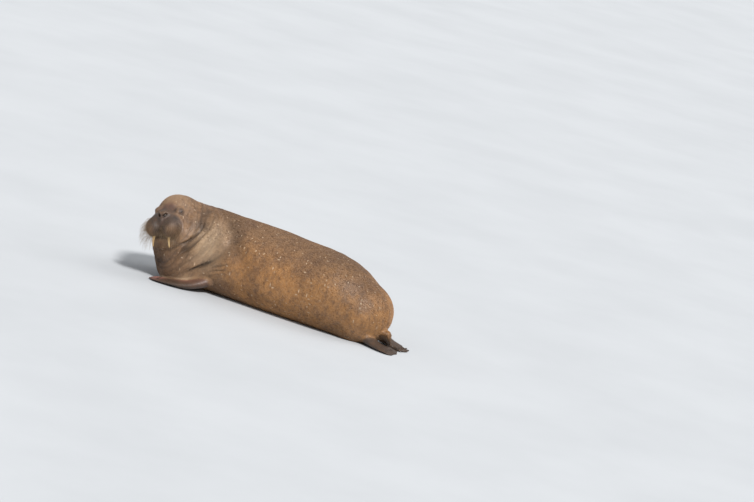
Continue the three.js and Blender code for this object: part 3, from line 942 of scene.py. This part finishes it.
class Markings:
    """Where the skin is bare and dark, with painted shade over the face, where more shade is painted on,
    where the coat is warm, and where a painted sheen or a flush lies, as smooth shares over its vertices.
    """

    def __init__(self, carving: Carving) -> None:
        """Takes the carved skin's places and folds."""
        self.carving = carving

    def bare(self) -> Points:
        """The dark bare skin of the muzzle and the flippers, with painted shade over the muzzle and the
        forehead, and darker rims round the eyes.
        """
        c = self.carving
        muzzle = ellipsoid(c.q, (112, 0, -116), (122, 172, 132))
        mask = 1 - smooth_step(muzzle, -26, 8)
        eye = np.linalg.norm(c.half - np.array(EYE), axis=1)
        forehead = ellipsoid(c.q, (78, 0, 26), (84, 92, 78))
        mask = np.maximum(mask, 0.85 * (1 - smooth_step(eye, 20, 42)))
        mask = np.maximum(mask, 0.88 * (1 - smooth_step(forehead, -26, 26)))
        return np.maximum(mask, 0.9 * c.off_body)

    def shade(self) -> Points:
        """Painted shade in the folds and openings, in the hollow behind the shoulder, on the throat under the
        head, toward the rump and low on the body near the floor.
        """
        c = self.carving
        low = 1 - smooth_step(c.p[:, 2], 0, 110)
        rump = smooth_step(c.p[:, 0], 250, 850)
        hollow = np.clip(c.flesh.valleys(c.p) / 24.0, 0, 1)
        throat = self.spot(c.p, (-850, -330, 190), (180, 220, 230))
        broad = 0.3 * low + 0.4 * rump + 0.5 * hollow + 0.6 * throat
        return np.clip(np.maximum(c.fold, c.opening) + broad, 0, 1)

    @staticmethod
    def spot(place: Points, at: Point, size: Point) -> Points:
        """A soft round patch."""
        return bell(np.linalg.norm((place - np.array(at)) / size, axis=1), 1)

    def warm(self) -> Points:
        """The flanks and belly, where the coat is cinnamon, against the greyer back, neck and crown."""
        p = self.carving.p
        flank = 1 - smooth_step(p[:, 2], 360, 640)
        behind = smooth_step(p[:, 0], -420, 0)
        return flank * (0.3 + 0.7 * behind)

    def pale(self) -> Points:
        """A painted sheen on the shoulder and a weaker one on the crown, and the flushed patches on the
        flippers.
        """
        c = self.carving
        spots = (
            # Painted sheen on the shoulder, then a weaker painted sheen on the crown; the last two are the
            # flippers' flushed patches.
            (c.p, (-420, -330, 400), (150, 170, 190), 1.0),
            (c.half, (-90, 0, 110), (130, 120, 90), 0.3),
            (c.mirror, (-775, 405, 20), (62, 80, 50), 1.0),
            (c.mirror, (-560, 345, 70), (80, 60, 55), 1.0),
        )
        total = np.zeros(len(c.p))
        for place, at, size, amount in spots:
            total += amount * self.spot(place, at, size)
        return np.clip(total, 0, 1)

    def write(self, mesh: bpy.types.Mesh) -> None:
        """Writes the shares as one colour attribute: bare skin with painted shade on the face, painted shade,
        warm coat, and painted sheen with the flippers' flush.
        """
        layer = mesh.color_attributes.new("markings", "FLOAT_COLOR", "POINT")
        values = np.column_stack([self.bare(), self.shade(), self.warm(), self.pale()])
        layer.data.foreach_set("color", values.astype(np.float32).ravel())


def tapered_tubes(name: str, lines: Points, radii: Points, sides: int) -> bpy.types.Object:
    """Many closed tapered tubes in one mesh.

    Args:
        name: The new object's name.
        lines: Middle lines in drawing millimetres, shaped tubes by stations by three.
        radii: Radii, shaped tubes by stations.
        sides: How many sides each tube has.

    Returns:
        The object, with its tubes in the order of the lines.
    """
    tubes, stations, _ = lines.shape
    tangent = unit(np.gradient(lines, axis=1))
    helper = np.where(np.abs(tangent[..., 2:3]) < 0.8, [[[0.0, 0.0, 1.0]]], [[[1.0, 0.0, 0.0]]])
    side = unit(np.cross(tangent, helper))
    rise = np.cross(side, tangent)
    turn = np.arange(sides) / sides * 2 * math.pi
    ring = side[:, :, None] * np.cos(turn)[:, None] + rise[:, :, None] * np.sin(turn)[:, None]
    rings = lines[:, :, None] + ring * radii[:, :, None, None]
    caps = np.stack([lines[:, 0] - tangent[:, 0] * 0.5, lines[:, -1] + tangent[:, -1] * 1.0], axis=1)
    verts = np.concatenate([rings.reshape(tubes, -1, 3), caps], axis=1)
    per_tube = verts.shape[1]
    first, last, far = per_tube - 2, per_tube - 1, (stations - 1) * sides
    pairs = [(a, (a + 1) % sides) for a in range(sides)]
    one = [(s + a, s + b, s + sides + b, s + sides + a) for s in range(0, far, sides) for a, b in pairs]
    one += [(first, b, a) for a, b in pairs] + [(last, far + a, far + b) for a, b in pairs]
    faces = [tuple(i + n * per_tube for i in face) for n in range(tubes) for face in one]
    mesh = bpy.data.meshes.new(name)
    mesh.from_pydata(to_metres(verts.reshape(-1, 3)), [], faces)
    bm = bmesh.new()
    bm.from_mesh(mesh)
    bmesh.ops.recalc_face_normals(bm, faces=bm.faces)
    bm.to_mesh(mesh)
    bm.free()
    mesh.shade_smooth()
    return linked(name, mesh)


@dataclass
class Whiskers:
    """The stiff, drooping whiskers of one pad, in rows from the nose to the corner of the mouth."""

    side: Side
    seed: int
    count: int = WHISKERS
    stations: int = 8
    sides: int = 4
    root_radius: float = 1.5
    tip_radius: float = 0.35
    shortest: float = 20.0
    longest: float = 112.0
    rooted: float = 5.0
    scatter: float = 0.045
    droop: tuple[float, float] = (0.3, 0.65)

    def make(self) -> bpy.types.Object:
        """Builds the whiskers on the pad's ellipsoid, with a patch of the unwrap for each root."""
        draw = np.random.default_rng(self.seed)
        outward = whisker_ways(self.count)
        at, size = (np.array(v, float) for v in PAD)
        reach = 1.0 / np.linalg.norm(outward / size, axis=1)
        root = at + outward * (reach - self.rooted)[:, None]
        low = np.clip(0.48 - outward[:, 2] * 0.45 + outward[:, 1] * 0.25, 0, 1)
        outward = unit(outward + draw.normal(0, self.scatter, outward.shape))
        length = (self.longest - self.shortest) * low**1.3 * draw.uniform(0.55, 1.0, self.count)
        length = self.shortest + length
        droop = length * draw.uniform(*self.droop, self.count)
        t = np.linspace(0, 1, self.stations)[None, :, None]
        lean = unit(outward + np.array([0, 0.2, -0.2]))
        local = root[:, None] + outward[:, None] * length[:, None, None] * (t - 0.35 * t**2)
        local = local + lean[:, None] * length[:, None, None] * 0.25 * t**2
        local[..., 2] -= droop[:, None] * t[..., 0] ** 2
        local[..., 1] *= self.side.value
        lines = HEAD.out(local.reshape(-1, 3)).reshape(local.shape)
        radii = self.root_radius + (self.tip_radius - self.root_radius) * t[..., 0] ** 0.8
        radii = np.repeat(radii, self.count, axis=0) * draw.uniform(0.7, 1.1, (self.count, 1))
        whiskers = tapered_tubes(f"whiskers_{self.side.word}", lines, radii, self.sides)
        around = np.arctan2(outward[:, 1], outward[:, 0]) / math.tau + 0.5
        write_patches(whiskers.data, np.column_stack([around, outward[:, 2] * 0.45 + 0.5]))
        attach(whiskers, "root")
        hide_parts(f"whisker_pad_{self.side.word}")
        return whiskers


def write_patches(mesh: bpy.types.Mesh, centres: Points) -> None:
    """Gives each small piece of a mesh its own patch of the unwrap.

    Args:
        mesh: A mesh of many like pieces, one after another.
        centres: Each piece's place on the unwrap.
    """
    per_piece = len(mesh.vertices) // len(centres)
    corners = np.zeros(len(mesh.loops), int)
    mesh.loops.foreach_get("vertex_index", corners)
    piece, inner = corners // per_piece, corners % per_piece
    spot = np.column_stack([inner % 7 / 6.0 - 0.5, inner / per_piece - 0.5]) * PATCH
    layer = mesh.uv_layers.new(name="OFBake")
    layer.data.foreach_set("uv", (centres[piece] + spot).astype(np.float32).ravel())


@dataclass
class Coat:
    """Short stiff tufts of hair over one stretch of the skin, laid back from the nose and down the sides."""

    name: str
    behind: float
    before: float
    seed: int
    count: int = 44000
    length: tuple[float, float] = (6.0, 13.0)
    width: float = 2.2
    lift: tuple[float, float] = (0.04, 0.2)
    sunk: float = 1.2
    hump: float = 1.0
    scatter: float = 0.16
    parting: Point = (130, 0, -60)
    head_middle: Point = (-60, 0, -80)
    unwrap_length: float = 3200.0

    def roots(self, skin: bpy.types.Object, draw: np.random.Generator) -> tuple[Points, Points, Points]:
        """Picks roots on the skin's furred faces by their area.

        Args:
            skin: The finished skin.
            draw: The seeded draw.

        Returns:
            The roots' places, the skin's normals there and its marks and painted light there.
        """
        mesh = skin.data
        mesh.calc_loop_triangles()
        corners = np.zeros(len(mesh.loop_triangles) * 3, int)
        mesh.loop_triangles.foreach_get("vertices", corners)
        corners = corners.reshape(-1, 3)
        flat = np.zeros(len(mesh.vertices) * 3)
        mesh.vertices.foreach_get("co", flat)
        place = to_drawing(flat.reshape(-1, 3))
        marks = np.zeros(len(mesh.vertices) * 4, np.float32)
        mesh.color_attributes["markings"].data.foreach_get("color", marks)
        marks = marks.reshape(-1, 4)
        a, b, c = (place[corners[:, i]] for i in range(3))
        normal = np.cross(b - a, c - a)
        middle = (a + b + c) / 3
        furred = np.clip(1 - 1.6 * marks[corners[:, 0], 0], 0, 1) * smooth_step(middle[:, 2], 12, 40)
        furred = furred * ((middle[:, 0] > self.behind) & (middle[:, 0] <= self.before))
        weight = np.linalg.norm(normal, axis=1) * furred
        pick = draw.choice(len(weight), self.count, p=weight / weight.sum())
        share = draw.dirichlet((1.0, 1.0, 1.0), self.count)
        place = sum(share[:, i, None] * place[corners[pick, i]] for i in range(3))
        marked = sum(share[:, i, None] * marks[corners[pick, i]] for i in range(3))
        return place, unit(normal[pick]), marked

    def make(self, skin: bpy.types.Object) -> bpy.types.Object:
        """Builds the tufts as closed blades of four faces, marked, painted shade and sheen included, as the
        skin is at their roots.
        """
        draw = np.random.default_rng(self.seed)
        root, normal, marks = self.roots(skin, draw)
        q = HEAD.into(root)
        back = HEAD.out_way(unit(q - np.array(self.parting)) * [-1, 1, 1] + np.array([-1.6, 0, 0]))
        on_head = 1 - smooth_step(np.linalg.norm(q - np.array(self.head_middle), axis=1), 240, 420)
        on_head = on_head[:, None]
        lie = np.array([1.0, 0.0, -0.28]) * (1 - on_head) + unit(back) * on_head
        lie = lie + draw.normal(0, self.scatter, lie.shape)
        lie = unit(lie - normal * (lie * normal).sum(axis=1, keepdims=True))
        side = np.cross(normal, lie)
        length = draw.uniform(*self.length, self.count)[:, None]
        lift = draw.uniform(*self.lift, self.count)[:, None]
        half = self.width * draw.uniform(0.35, 0.6, self.count)[:, None]
        corners = (
            root - side * half - normal * self.sunk,
            root + side * half - normal * self.sunk,
            root + (normal - lie) * self.hump,
            root + lie * length + normal * length * lift,
        )
        verts = np.stack(corners, axis=1)
        verts[..., 2] = np.maximum(verts[..., 2], 0.5)
        one = ((0, 1, 3), (1, 2, 3), (2, 0, 3), (0, 2, 1))
        faces = [tuple(i + n * 4 for i in f) for n in range(self.count) for f in one]
        mesh = bpy.data.meshes.new(self.name)
        mesh.from_pydata(to_metres(verts.reshape(-1, 3)), [], faces)
        layer = mesh.color_attributes.new("markings", "FLOAT_COLOR", "POINT")
        layer.data.foreach_set("color", np.repeat(marks, 4, axis=0).astype(np.float32).ravel())
        around = np.arctan2(root[:, 1], root[:, 2] - TRUNK[2][0][2]) / math.tau + 0.5
        along = (root[:, 0] + self.unwrap_length / 2) / self.unwrap_length
        write_patches(mesh, np.column_stack([along, around]))
        coat = linked(self.name, mesh)
        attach(coat, "root")
        return coat


@dataclass
class Eye:
    """One eyeball, with a pupil and iris that look the head's way and a little out to the side."""

    side: Side
    gaze: Point = (0.55, 0.83, -0.03)
    pupil: float = 44.0
    iris: float = 70.0
    around: int = 40
    rows: int = 28

    def make(self, finishes: Sequence[bpy.types.Material]) -> bpy.types.Object:
        """Builds the ball with a pole on the gaze, and gives its rings the eye's finishes."""
        bm = bmesh.new()
        bmesh.ops.create_uvsphere(bm, u_segments=self.around, v_segments=self.rows, radius=EYE_RADIUS - 0.2)
        for face in bm.faces:
            angle = math.degrees(math.acos(max(-1.0, min(1.0, face.calc_center_median().normalized().z))))
            face.material_index = 0 if angle < self.pupil else 1 if angle < self.iris else 2
        gaze = HEAD.out_way(unit(mirrored(self.gaze, self.side)))
        turn = Vector((0, 0, 1)).rotation_difference(Vector(gaze)).to_matrix()
        places = vertex_places(bm) @ np.array(turn).T + HEAD.out(mirrored(EYE, self.side))
        place_vertices(bm, to_metres(places))
        eye = object_from(f"eyeball_{self.side.word}", bm)
        for finish in finishes:
            eye.data.materials.append(finish)
        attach(eye, "root")
        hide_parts(f"eye_{self.side.word}")
        return eye


@dataclass
class Tusk:
    """One short tusk, bent a little back and blunt at the tip."""

    side: Side
    stations: int = 22
    sides: int = 28

    def make(self) -> bpy.types.Object:
        """Builds the tusk as a tapered tube."""
        t = np.linspace(0, 1, self.stations)
        line = HEAD.out(Spline(mirrored(p, self.side) for p in TUSK).at(t))
        radius = TUSK_RADIUS * (1 - 0.62 * t**1.8)
        radius[-3:] *= (0.93, 0.78, 0.42)
        tusk = tapered_tubes(f"ivory_tusk_{self.side.word}", line[None], radius[None], self.sides)
        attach(tusk, "root")
        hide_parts(f"tusk_{self.side.word}")
        return tusk


@dataclass
class Claws:
    """The small horny claws on the upper side of one flipper."""

    paddle: Paddle
    name: str
    length: float = 20.0
    radius: float = 4.6
    set_back: float = 8.0
    arch: float = 2.2
    dip: float = 2.5

    def make(self) -> bpy.types.Object:
        """Builds five short bent claws in one mesh."""
        roots, way = self.paddle.claw_roots(-self.set_back)
        t = np.linspace(0, 1, 7)[None, :, None]
        lines = roots[:, None] + way * self.length * t
        lines[..., 2] += self.arch * np.sin(t[..., 0] * math.pi) - self.dip * t[..., 0] ** 2
        radii = np.repeat(self.radius * (1 - 0.85 * t[..., 0] ** 1.5), DIGITS, axis=0)
        claws = tapered_tubes(self.name, lines, radii, 10)
        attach(claws, "root")
        return claws


Socket = bpy.types.NodeSocket
Tree = bpy.types.NodeTree


class Nodes:
    """Short words for laying out and linking the nodes of one tree."""

    def __init__(self, tree: Tree) -> None:
        """Keeps the tree that the nodes go into."""
        self.tree = tree

    def add(self, kind: str, **facts: object) -> bpy.types.Node:
        """A new node with its properties set."""
        node = self.tree.nodes.new(kind)
        for name, value in facts.items():
            setattr(node, name, value)
        return node

    def link(self, source: Socket, target: Socket) -> None:
        """Joins two sockets."""
        self.tree.links.new(source, target)

    def math(self, operation: str, a: Socket | float, b: Socket | float = 0.0, clamp: bool = False) -> Socket:
        """One sum of two values."""
        node = self.add("ShaderNodeMath", operation=operation, use_clamp=clamp)
        for socket, value in zip(node.inputs, (a, b)):
            if isinstance(value, Socket):
                self.link(value, socket)
            else:
                socket.default_value = value
        return node.outputs[0]

    def spread(
        self, value: Socket, low: float, high: float, to_low: float = 0.0, to_high: float = 1.0
    ) -> Socket:
        """A value brought from one range to another, clamped."""
        node = self.add("ShaderNodeMapRange")
        self.link(value, node.inputs["Value"])
        for name, number in (("From Min", low), ("From Max", high), ("To Min", to_low), ("To Max", to_high)):
            node.inputs[name].default_value = number
        return node.outputs["Result"]

    def mix(self, share: Socket | float, a: Socket | tuple, b: Socket | tuple, kind: str = "MIX") -> Socket:
        """One colour laid over another."""
        node = self.add("ShaderNodeMix", data_type="RGBA", blend_type=kind, clamp_factor=True)
        for socket, value in ((node.inputs[0], share), (node.inputs[6], a), (node.inputs[7], b)):
            if isinstance(value, Socket):
                self.link(value, socket)
            else:
                socket.default_value = value if isinstance(value, float) else (*value, 1.0)
        return node.outputs[2]

    def noise(self, place: Socket, scale: float, detail: float = 4.0, rough: float = 0.55) -> Socket:
        """Soft noise at a place."""
        node = self.add("ShaderNodeTexNoise")
        node.inputs["Scale"].default_value = scale
        node.inputs["Detail"].default_value = detail
        node.inputs["Roughness"].default_value = rough
        self.link(place, node.inputs["Vector"])
        return node.outputs["Fac"]

    def stretched(self, place: Socket, scale: Point, turn: Point = (0, 0, 0)) -> Socket:
        """A place scaled along each axis and turned."""
        node = self.add("ShaderNodeMapping")
        node.inputs["Scale"].default_value = scale
        node.inputs["Rotation"].default_value = tuple(math.radians(a) for a in turn)
        self.link(place, node.inputs["Vector"])
        return node.outputs["Vector"]


def scars(nodes: Nodes, place: Socket, scale: Point, turn: Point, share: float, size: float) -> Socket:
    """Short pale strokes, one in some of the cells of a stretched pattern.

    Args:
        nodes: The tree that they are built in.
        place: The place that the pattern reads.
        scale: Cells to a metre along each axis.
        turn: How the pattern is turned, in degrees.
        share: The share of the cells that have a stroke.
        size: How large a stroke is in its cell.

    Returns:
        The strokes as a mask.
    """
    cells = nodes.add("ShaderNodeTexVoronoi", feature="F1")
    cells.inputs["Scale"].default_value = 1.0
    nodes.link(nodes.stretched(place, scale, turn), cells.inputs["Vector"])
    draw = nodes.add("ShaderNodeSeparateColor")
    nodes.link(cells.outputs["Color"], draw.inputs["Color"])
    chosen = nodes.spread(draw.outputs["Red"], 1 - share, 1 - share + 0.12)
    return nodes.math("MULTIPLY", nodes.spread(cells.outputs["Distance"], size, size * 0.4), chosen)


def coat_group() -> bpy.types.ShaderNodeTree:
    """The short coat and the skin under it: mottling, scars and the height of hair and wrinkles."""
    tree = bpy.data.node_groups.new("short coat", "ShaderNodeTree")
    tree.interface.new_socket("Place", in_out="INPUT", socket_type="NodeSocketVector")
    for name in ("Patches", "Mottle", "Scars", "Grain", "Height"):
        tree.interface.new_socket(name, in_out="OUTPUT", socket_type="NodeSocketFloat")
    nodes = Nodes(tree)
    place = nodes.add("NodeGroupInput").outputs["Place"]
    out = nodes.add("NodeGroupOutput")
    patches = nodes.noise(place, 3.2, 3.0, 0.6)
    mottle = nodes.noise(nodes.stretched(place, (1.0, 1.0, 0.7)), 24.0, 6.0, 0.68)
    hair = nodes.noise(nodes.stretched(place, (70, 150, 34)), 1.0, 5.0, 0.65)
    strokes = nodes.math(
        "MAXIMUM",
        scars(nodes, place, (30, 30, 9), (0, 28, 0), 0.55, 0.2),
        scars(nodes, place, (12, 34, 26), (0, -38, 0), 0.42, 0.18),
    )
    cells = nodes.add("ShaderNodeTexVoronoi", feature="DISTANCE_TO_EDGE")
    cells.inputs["Scale"].default_value = 60.0
    nodes.link(nodes.stretched(place, (0.7, 1.0, 1.0)), cells.inputs["Vector"])
    wrinkle = nodes.spread(cells.outputs["Distance"], 0.0, 0.22)
    height = nodes.math("ADD", nodes.math("MULTIPLY", hair, 0.6), nodes.math("MULTIPLY", wrinkle, 0.4))
    outputs = {"Patches": patches, "Mottle": mottle, "Scars": strokes, "Grain": hair, "Height": height}
    for name, socket in outputs.items():
        nodes.link(socket, out.inputs[name])
    return tree


@dataclass(frozen=True)
class HideFinish:
    """The walrus's hide: a short cinnamon coat with dusky patches and scars, dark bare skin, and painted
    shade and sheen.
    """

    name: str
    coat: Point = (0.222, 0.124, 0.062)
    warm: Point = (0.40, 0.195, 0.066)
    dark: Point = (0.105, 0.056, 0.034)
    # Dark bare skin, also the colour of the painted shade over the face.
    bare: Point = (0.042, 0.029, 0.021)
    # The colour of the painted sheen, and of the pale hair grain.
    pale: Point = (0.52, 0.37, 0.235)
    flush: Point = (0.60, 0.22, 0.17)
    scar: Point = (0.62, 0.46, 0.31)
    # The colour of painted shade in folds, openings and hollows.
    crease: Point = (0.022, 0.013, 0.009)
    roughness: float = 0.55
    bump: float = 0.5

    def make(self, group: bpy.types.ShaderNodeTree) -> bpy.types.Material:
        """Builds the material, which lays the marks, the painted shade and the painted sheen over the coat's
        own mottling.
        """
        material = bpy.data.materials.new(self.name)
        material.use_nodes = True
        nodes = Nodes(material.node_tree)
        shader = material.node_tree.nodes["Principled BSDF"]
        marks = nodes.add("ShaderNodeVertexColor", layer_name="markings")
        split = nodes.add("ShaderNodeSeparateColor")
        nodes.link(marks.outputs["Color"], split.inputs["Color"])
        bare, shade, warm = split.outputs["Red"], split.outputs["Green"], split.outputs["Blue"]
        coat = nodes.add("ShaderNodeGroup", node_tree=group)
        nodes.link(nodes.add("ShaderNodeTexCoord").outputs["Object"], coat.inputs["Place"])
        colour = self.coat_colour(nodes, coat, warm, marks.outputs["Alpha"])
        skin = nodes.mix(nodes.spread(coat.outputs["Mottle"], 0.35, 0.65, 0.0, 0.6), self.bare, self.dark)
        skin = nodes.mix(nodes.math("MULTIPLY", marks.outputs["Alpha"], 0.9), skin, self.flush)
        # Bare skin in place of the coat, with painted shade over the muzzle and forehead.
        colour = nodes.mix(bare, colour, skin)
        # Painted shade, toward the crease colour.
        colour = nodes.mix(nodes.math("MULTIPLY", shade, 0.72), colour, self.crease)
        nodes.link(colour, shader.inputs["Base Color"])
        shine = nodes.math("SUBTRACT", self.roughness, nodes.math("MULTIPLY", bare, 0.1))
        nodes.link(shine, shader.inputs["Roughness"])
        bump = nodes.add("ShaderNodeBump")
        bump.inputs["Strength"].default_value = self.bump
        bump.inputs["Distance"].default_value = 0.004
        nodes.link(coat.outputs["Height"], bump.inputs["Height"])
        nodes.link(bump.outputs["Normal"], shader.inputs["Normal"])
        return material

    def coat_colour(self, nodes: Nodes, coat: bpy.types.Node, warm: Socket, pale: Socket) -> Socket:
        """The colour of the furred parts.

        Args:
            nodes: The material's nodes.
            coat: The node of the short coat's patterns.
            warm: How cinnamon the coat is.
            pale: How much painted sheen lies on it.

        Returns:
            The colour.
        """
        colour = nodes.mix(warm, self.coat, self.warm)
        patches = nodes.spread(coat.outputs["Patches"], 0.54, 0.36, 0.0, 0.5)
        colour = nodes.mix(patches, colour, self.dark)
        mottle = nodes.spread(coat.outputs["Mottle"], 0.56, 0.34, 0.0, 0.6)
        colour = nodes.mix(mottle, colour, self.dark)
        # Painted sheen on the shoulder and crown.
        colour = nodes.mix(nodes.math("MULTIPLY", pale, 0.8), colour, self.pale)
        grain = nodes.spread(coat.outputs["Grain"], 0.5, 0.72, 0.0, 0.22)
        colour = nodes.mix(grain, colour, self.pale)
        return nodes.mix(nodes.math("MULTIPLY", coat.outputs["Scars"], 0.8), colour, self.scar)


@dataclass(frozen=True)
class PlainFinish:
    """A finish of one colour, with a little mottling and no pattern."""

    name: str
    colour: Point
    second: Point
    roughness: float
    scale: float = 60.0
    coat: float = 0.0

    def make(self) -> bpy.types.Material:
        """Builds the material."""
        material = bpy.data.materials.new(self.name)
        material.use_nodes = True
        nodes = Nodes(material.node_tree)
        shader = material.node_tree.nodes["Principled BSDF"]
        place = nodes.add("ShaderNodeTexCoord").outputs["Object"]
        share = nodes.spread(nodes.noise(place, self.scale), 0.35, 0.65)
        nodes.link(nodes.mix(share, self.colour, self.second), shader.inputs["Base Color"])
        shader.inputs["Roughness"].default_value = self.roughness
        shader.inputs["Coat Weight"].default_value = self.coat
        shader.inputs["Coat Roughness"].default_value = 0.04
        return material


@dataclass(frozen=True)
class Sun:
    """A light's direction by shares of the picture's right, its up and the way back to the camera."""

    name: str
    toward: Point
    strength: float
    width: float


@dataclass
class Studio:
    """The pale floor, the soft light and the camera at the photograph's angle."""

    azimuth: float = 25.0
    elevation: float = 10.0
    roll: float = 14.0
    mm_per_pixel: float = 8.3
    distance: float = 30.0
    aim_across: float = 963.3
    aim_up: float = 447.0
    sensor: float = 36.0
    floor_size: float = 400.0
    suns: tuple[Sun, ...] = (
        Sun("key", (0.45, 0.5, 0.74), 3.7, 10.0),
        Sun("fill", (0.85, 0.5, -0.1), 0.7, 40.0),
    )
    sky: Point = (0.86, 0.9, 0.95)
    sky_strength: float = 0.55
    floor_finish: PlainFinish = PlainFinish("pale floor", (0.50, 0.51, 0.52), (0.53, 0.54, 0.55), 0.9, 0.7)

    def axes(self) -> tuple[Points, Points, Points]:
        """The picture's right, its up and the way back to the camera."""
        a, e, r = (math.radians(x) for x in (self.azimuth, self.elevation, self.roll))
        level = np.array([math.cos(a), math.sin(a), 0.0])
        back = np.array([math.sin(a) * math.cos(e), -math.cos(a) * math.cos(e), math.sin(e)])
        upright = np.cross(back, level)
        right = level * math.cos(r) + upright * math.sin(r)
        up = -level * math.sin(r) + upright * math.cos(r)
        return right, up, back

    def camera(self) -> None:
        """Places the camera so that a pixel of the photograph is the same size on the animal."""
        right, up, back = self.axes()
        aim = to_metres(right * self.aim_across + up * self.aim_up)
        lens = bpy.data.cameras.new("camera")
        lens.sensor_width = self.sensor
        lens.lens = self.sensor * self.distance / (PHOTO_SIZE[0] * self.mm_per_pixel * MM)
        lens.clip_end = 1000.0
        camera = linked("camera", lens)
        turn = Matrix((right, up, back)).transposed().to_4x4()
        turn.translation = Vector(aim + back * self.distance)
        camera.matrix_world = turn
        bpy.context.scene.camera = camera

    def lights(self) -> None:
        """A broad sun from the right and above, a weak fill and an even sky."""
        for sun in self.suns:
            light = bpy.data.lights.new(sun.name, "SUN")
            light.energy = sun.strength
            light.angle = math.radians(sun.width)
            way = unit(sum(axis * share for axis, share in zip(self.axes(), sun.toward)))
            turn = Vector(way).to_track_quat("Z", "Y")
            linked(sun.name, light).matrix_world = turn.to_matrix().to_4x4()
        world = bpy.data.worlds.new("sky")
        world.use_nodes = True
        background = world.node_tree.nodes["Background"]
        background.inputs["Color"].default_value = (*self.sky, 1.0)
        background.inputs["Strength"].default_value = self.sky_strength
        bpy.context.scene.world = world
        bpy.context.scene.view_settings.view_transform = "Standard"

    def floor(self) -> None:
        """A large pale floor."""
        bm = bmesh.new()
        bmesh.ops.create_grid(bm, x_segments=1, y_segments=1, size=self.floor_size / 2)
        floor = object_from("floor", bm, smooth=False)
        floor.data.materials.append(self.floor_finish.make())

    def make(self) -> None:
        """Sets up all three."""
        self.camera()
        self.lights()
        self.floor()


EYE_FINISHES = (
    PlainFinish("pupil", (0.006, 0.005, 0.005), (0.008, 0.006, 0.006), 0.08, coat=1.0),
    PlainFinish("iris", (0.045, 0.02, 0.01), (0.07, 0.03, 0.014), 0.1, 300.0, coat=1.0),
    PlainFinish("white of the eye", (0.20, 0.09, 0.07), (0.30, 0.16, 0.13), 0.15, 120.0, coat=1.0),
)
IVORY = PlainFinish("ivory", (0.72, 0.50, 0.24), (0.58, 0.36, 0.15), 0.38, 26.0)
WHISKER_HORN = PlainFinish("whisker horn", (0.16, 0.10, 0.055), (0.30, 0.20, 0.11), 0.42, 22.0)
CLAW_HORN = PlainFinish("claw horn", (0.035, 0.026, 0.02), (0.06, 0.045, 0.035), 0.4, 50.0)
COATS = (
    Coat("coat_front", -2000, -350, 3),
    Coat("coat_middle", -350, 330, 5),
    Coat("coat_rear", 330, 2000, 7),
)
WHISKER_SEEDS = {Side.LEFT: 11, Side.RIGHT: 29}


def dressed(piece: bpy.types.Object, finish: bpy.types.Material) -> None:
    """Gives a piece its finish and reports it."""
    piece.data.materials.append(finish)
    log.info("%s: %d faces", piece.name, len(piece.data.polygons))


def main() -> None:
    """Builds every piece in order and reports each one."""
    logging.basicConfig(level=logging.INFO, format="%(message)s")
    Studio().make()
    fore = [Paddle(FOREFLIPPER, side, FORE_SPREAD) for side in Side]
    hind = [Paddle(HINDFLIPPER, side, HIND_SPREAD, HIND_SWING) for side in Side]
    group = coat_group()
    skin = Skin(Flesh(), [*fore, *hind]).make()
    hide = HideFinish("hide").make(group)
    dressed(skin, hide)
    for coat in COATS:
        dressed(coat.make(skin), hide)
    eye_finishes = [finish.make() for finish in EYE_FINISHES]
    ivory, horn, claw_horn = (finish.make() for finish in (IVORY, WHISKER_HORN, CLAW_HORN))
    for side in Side:
        eye = Eye(side).make(eye_finishes)
        log.info("%s: %d faces", eye.name, len(eye.data.polygons))
        dressed(Tusk(side).make(), ivory)
        dressed(Whiskers(side, WHISKER_SEEDS[side]).make(), horn)
    for kind, pair in (("fore", fore), ("hind", hind)):
        for paddle in pair:
            dressed(Claws(paddle, f"{kind}claws_{paddle.side.word}").make(), claw_horn)


if __name__ == "__main__":
    main()
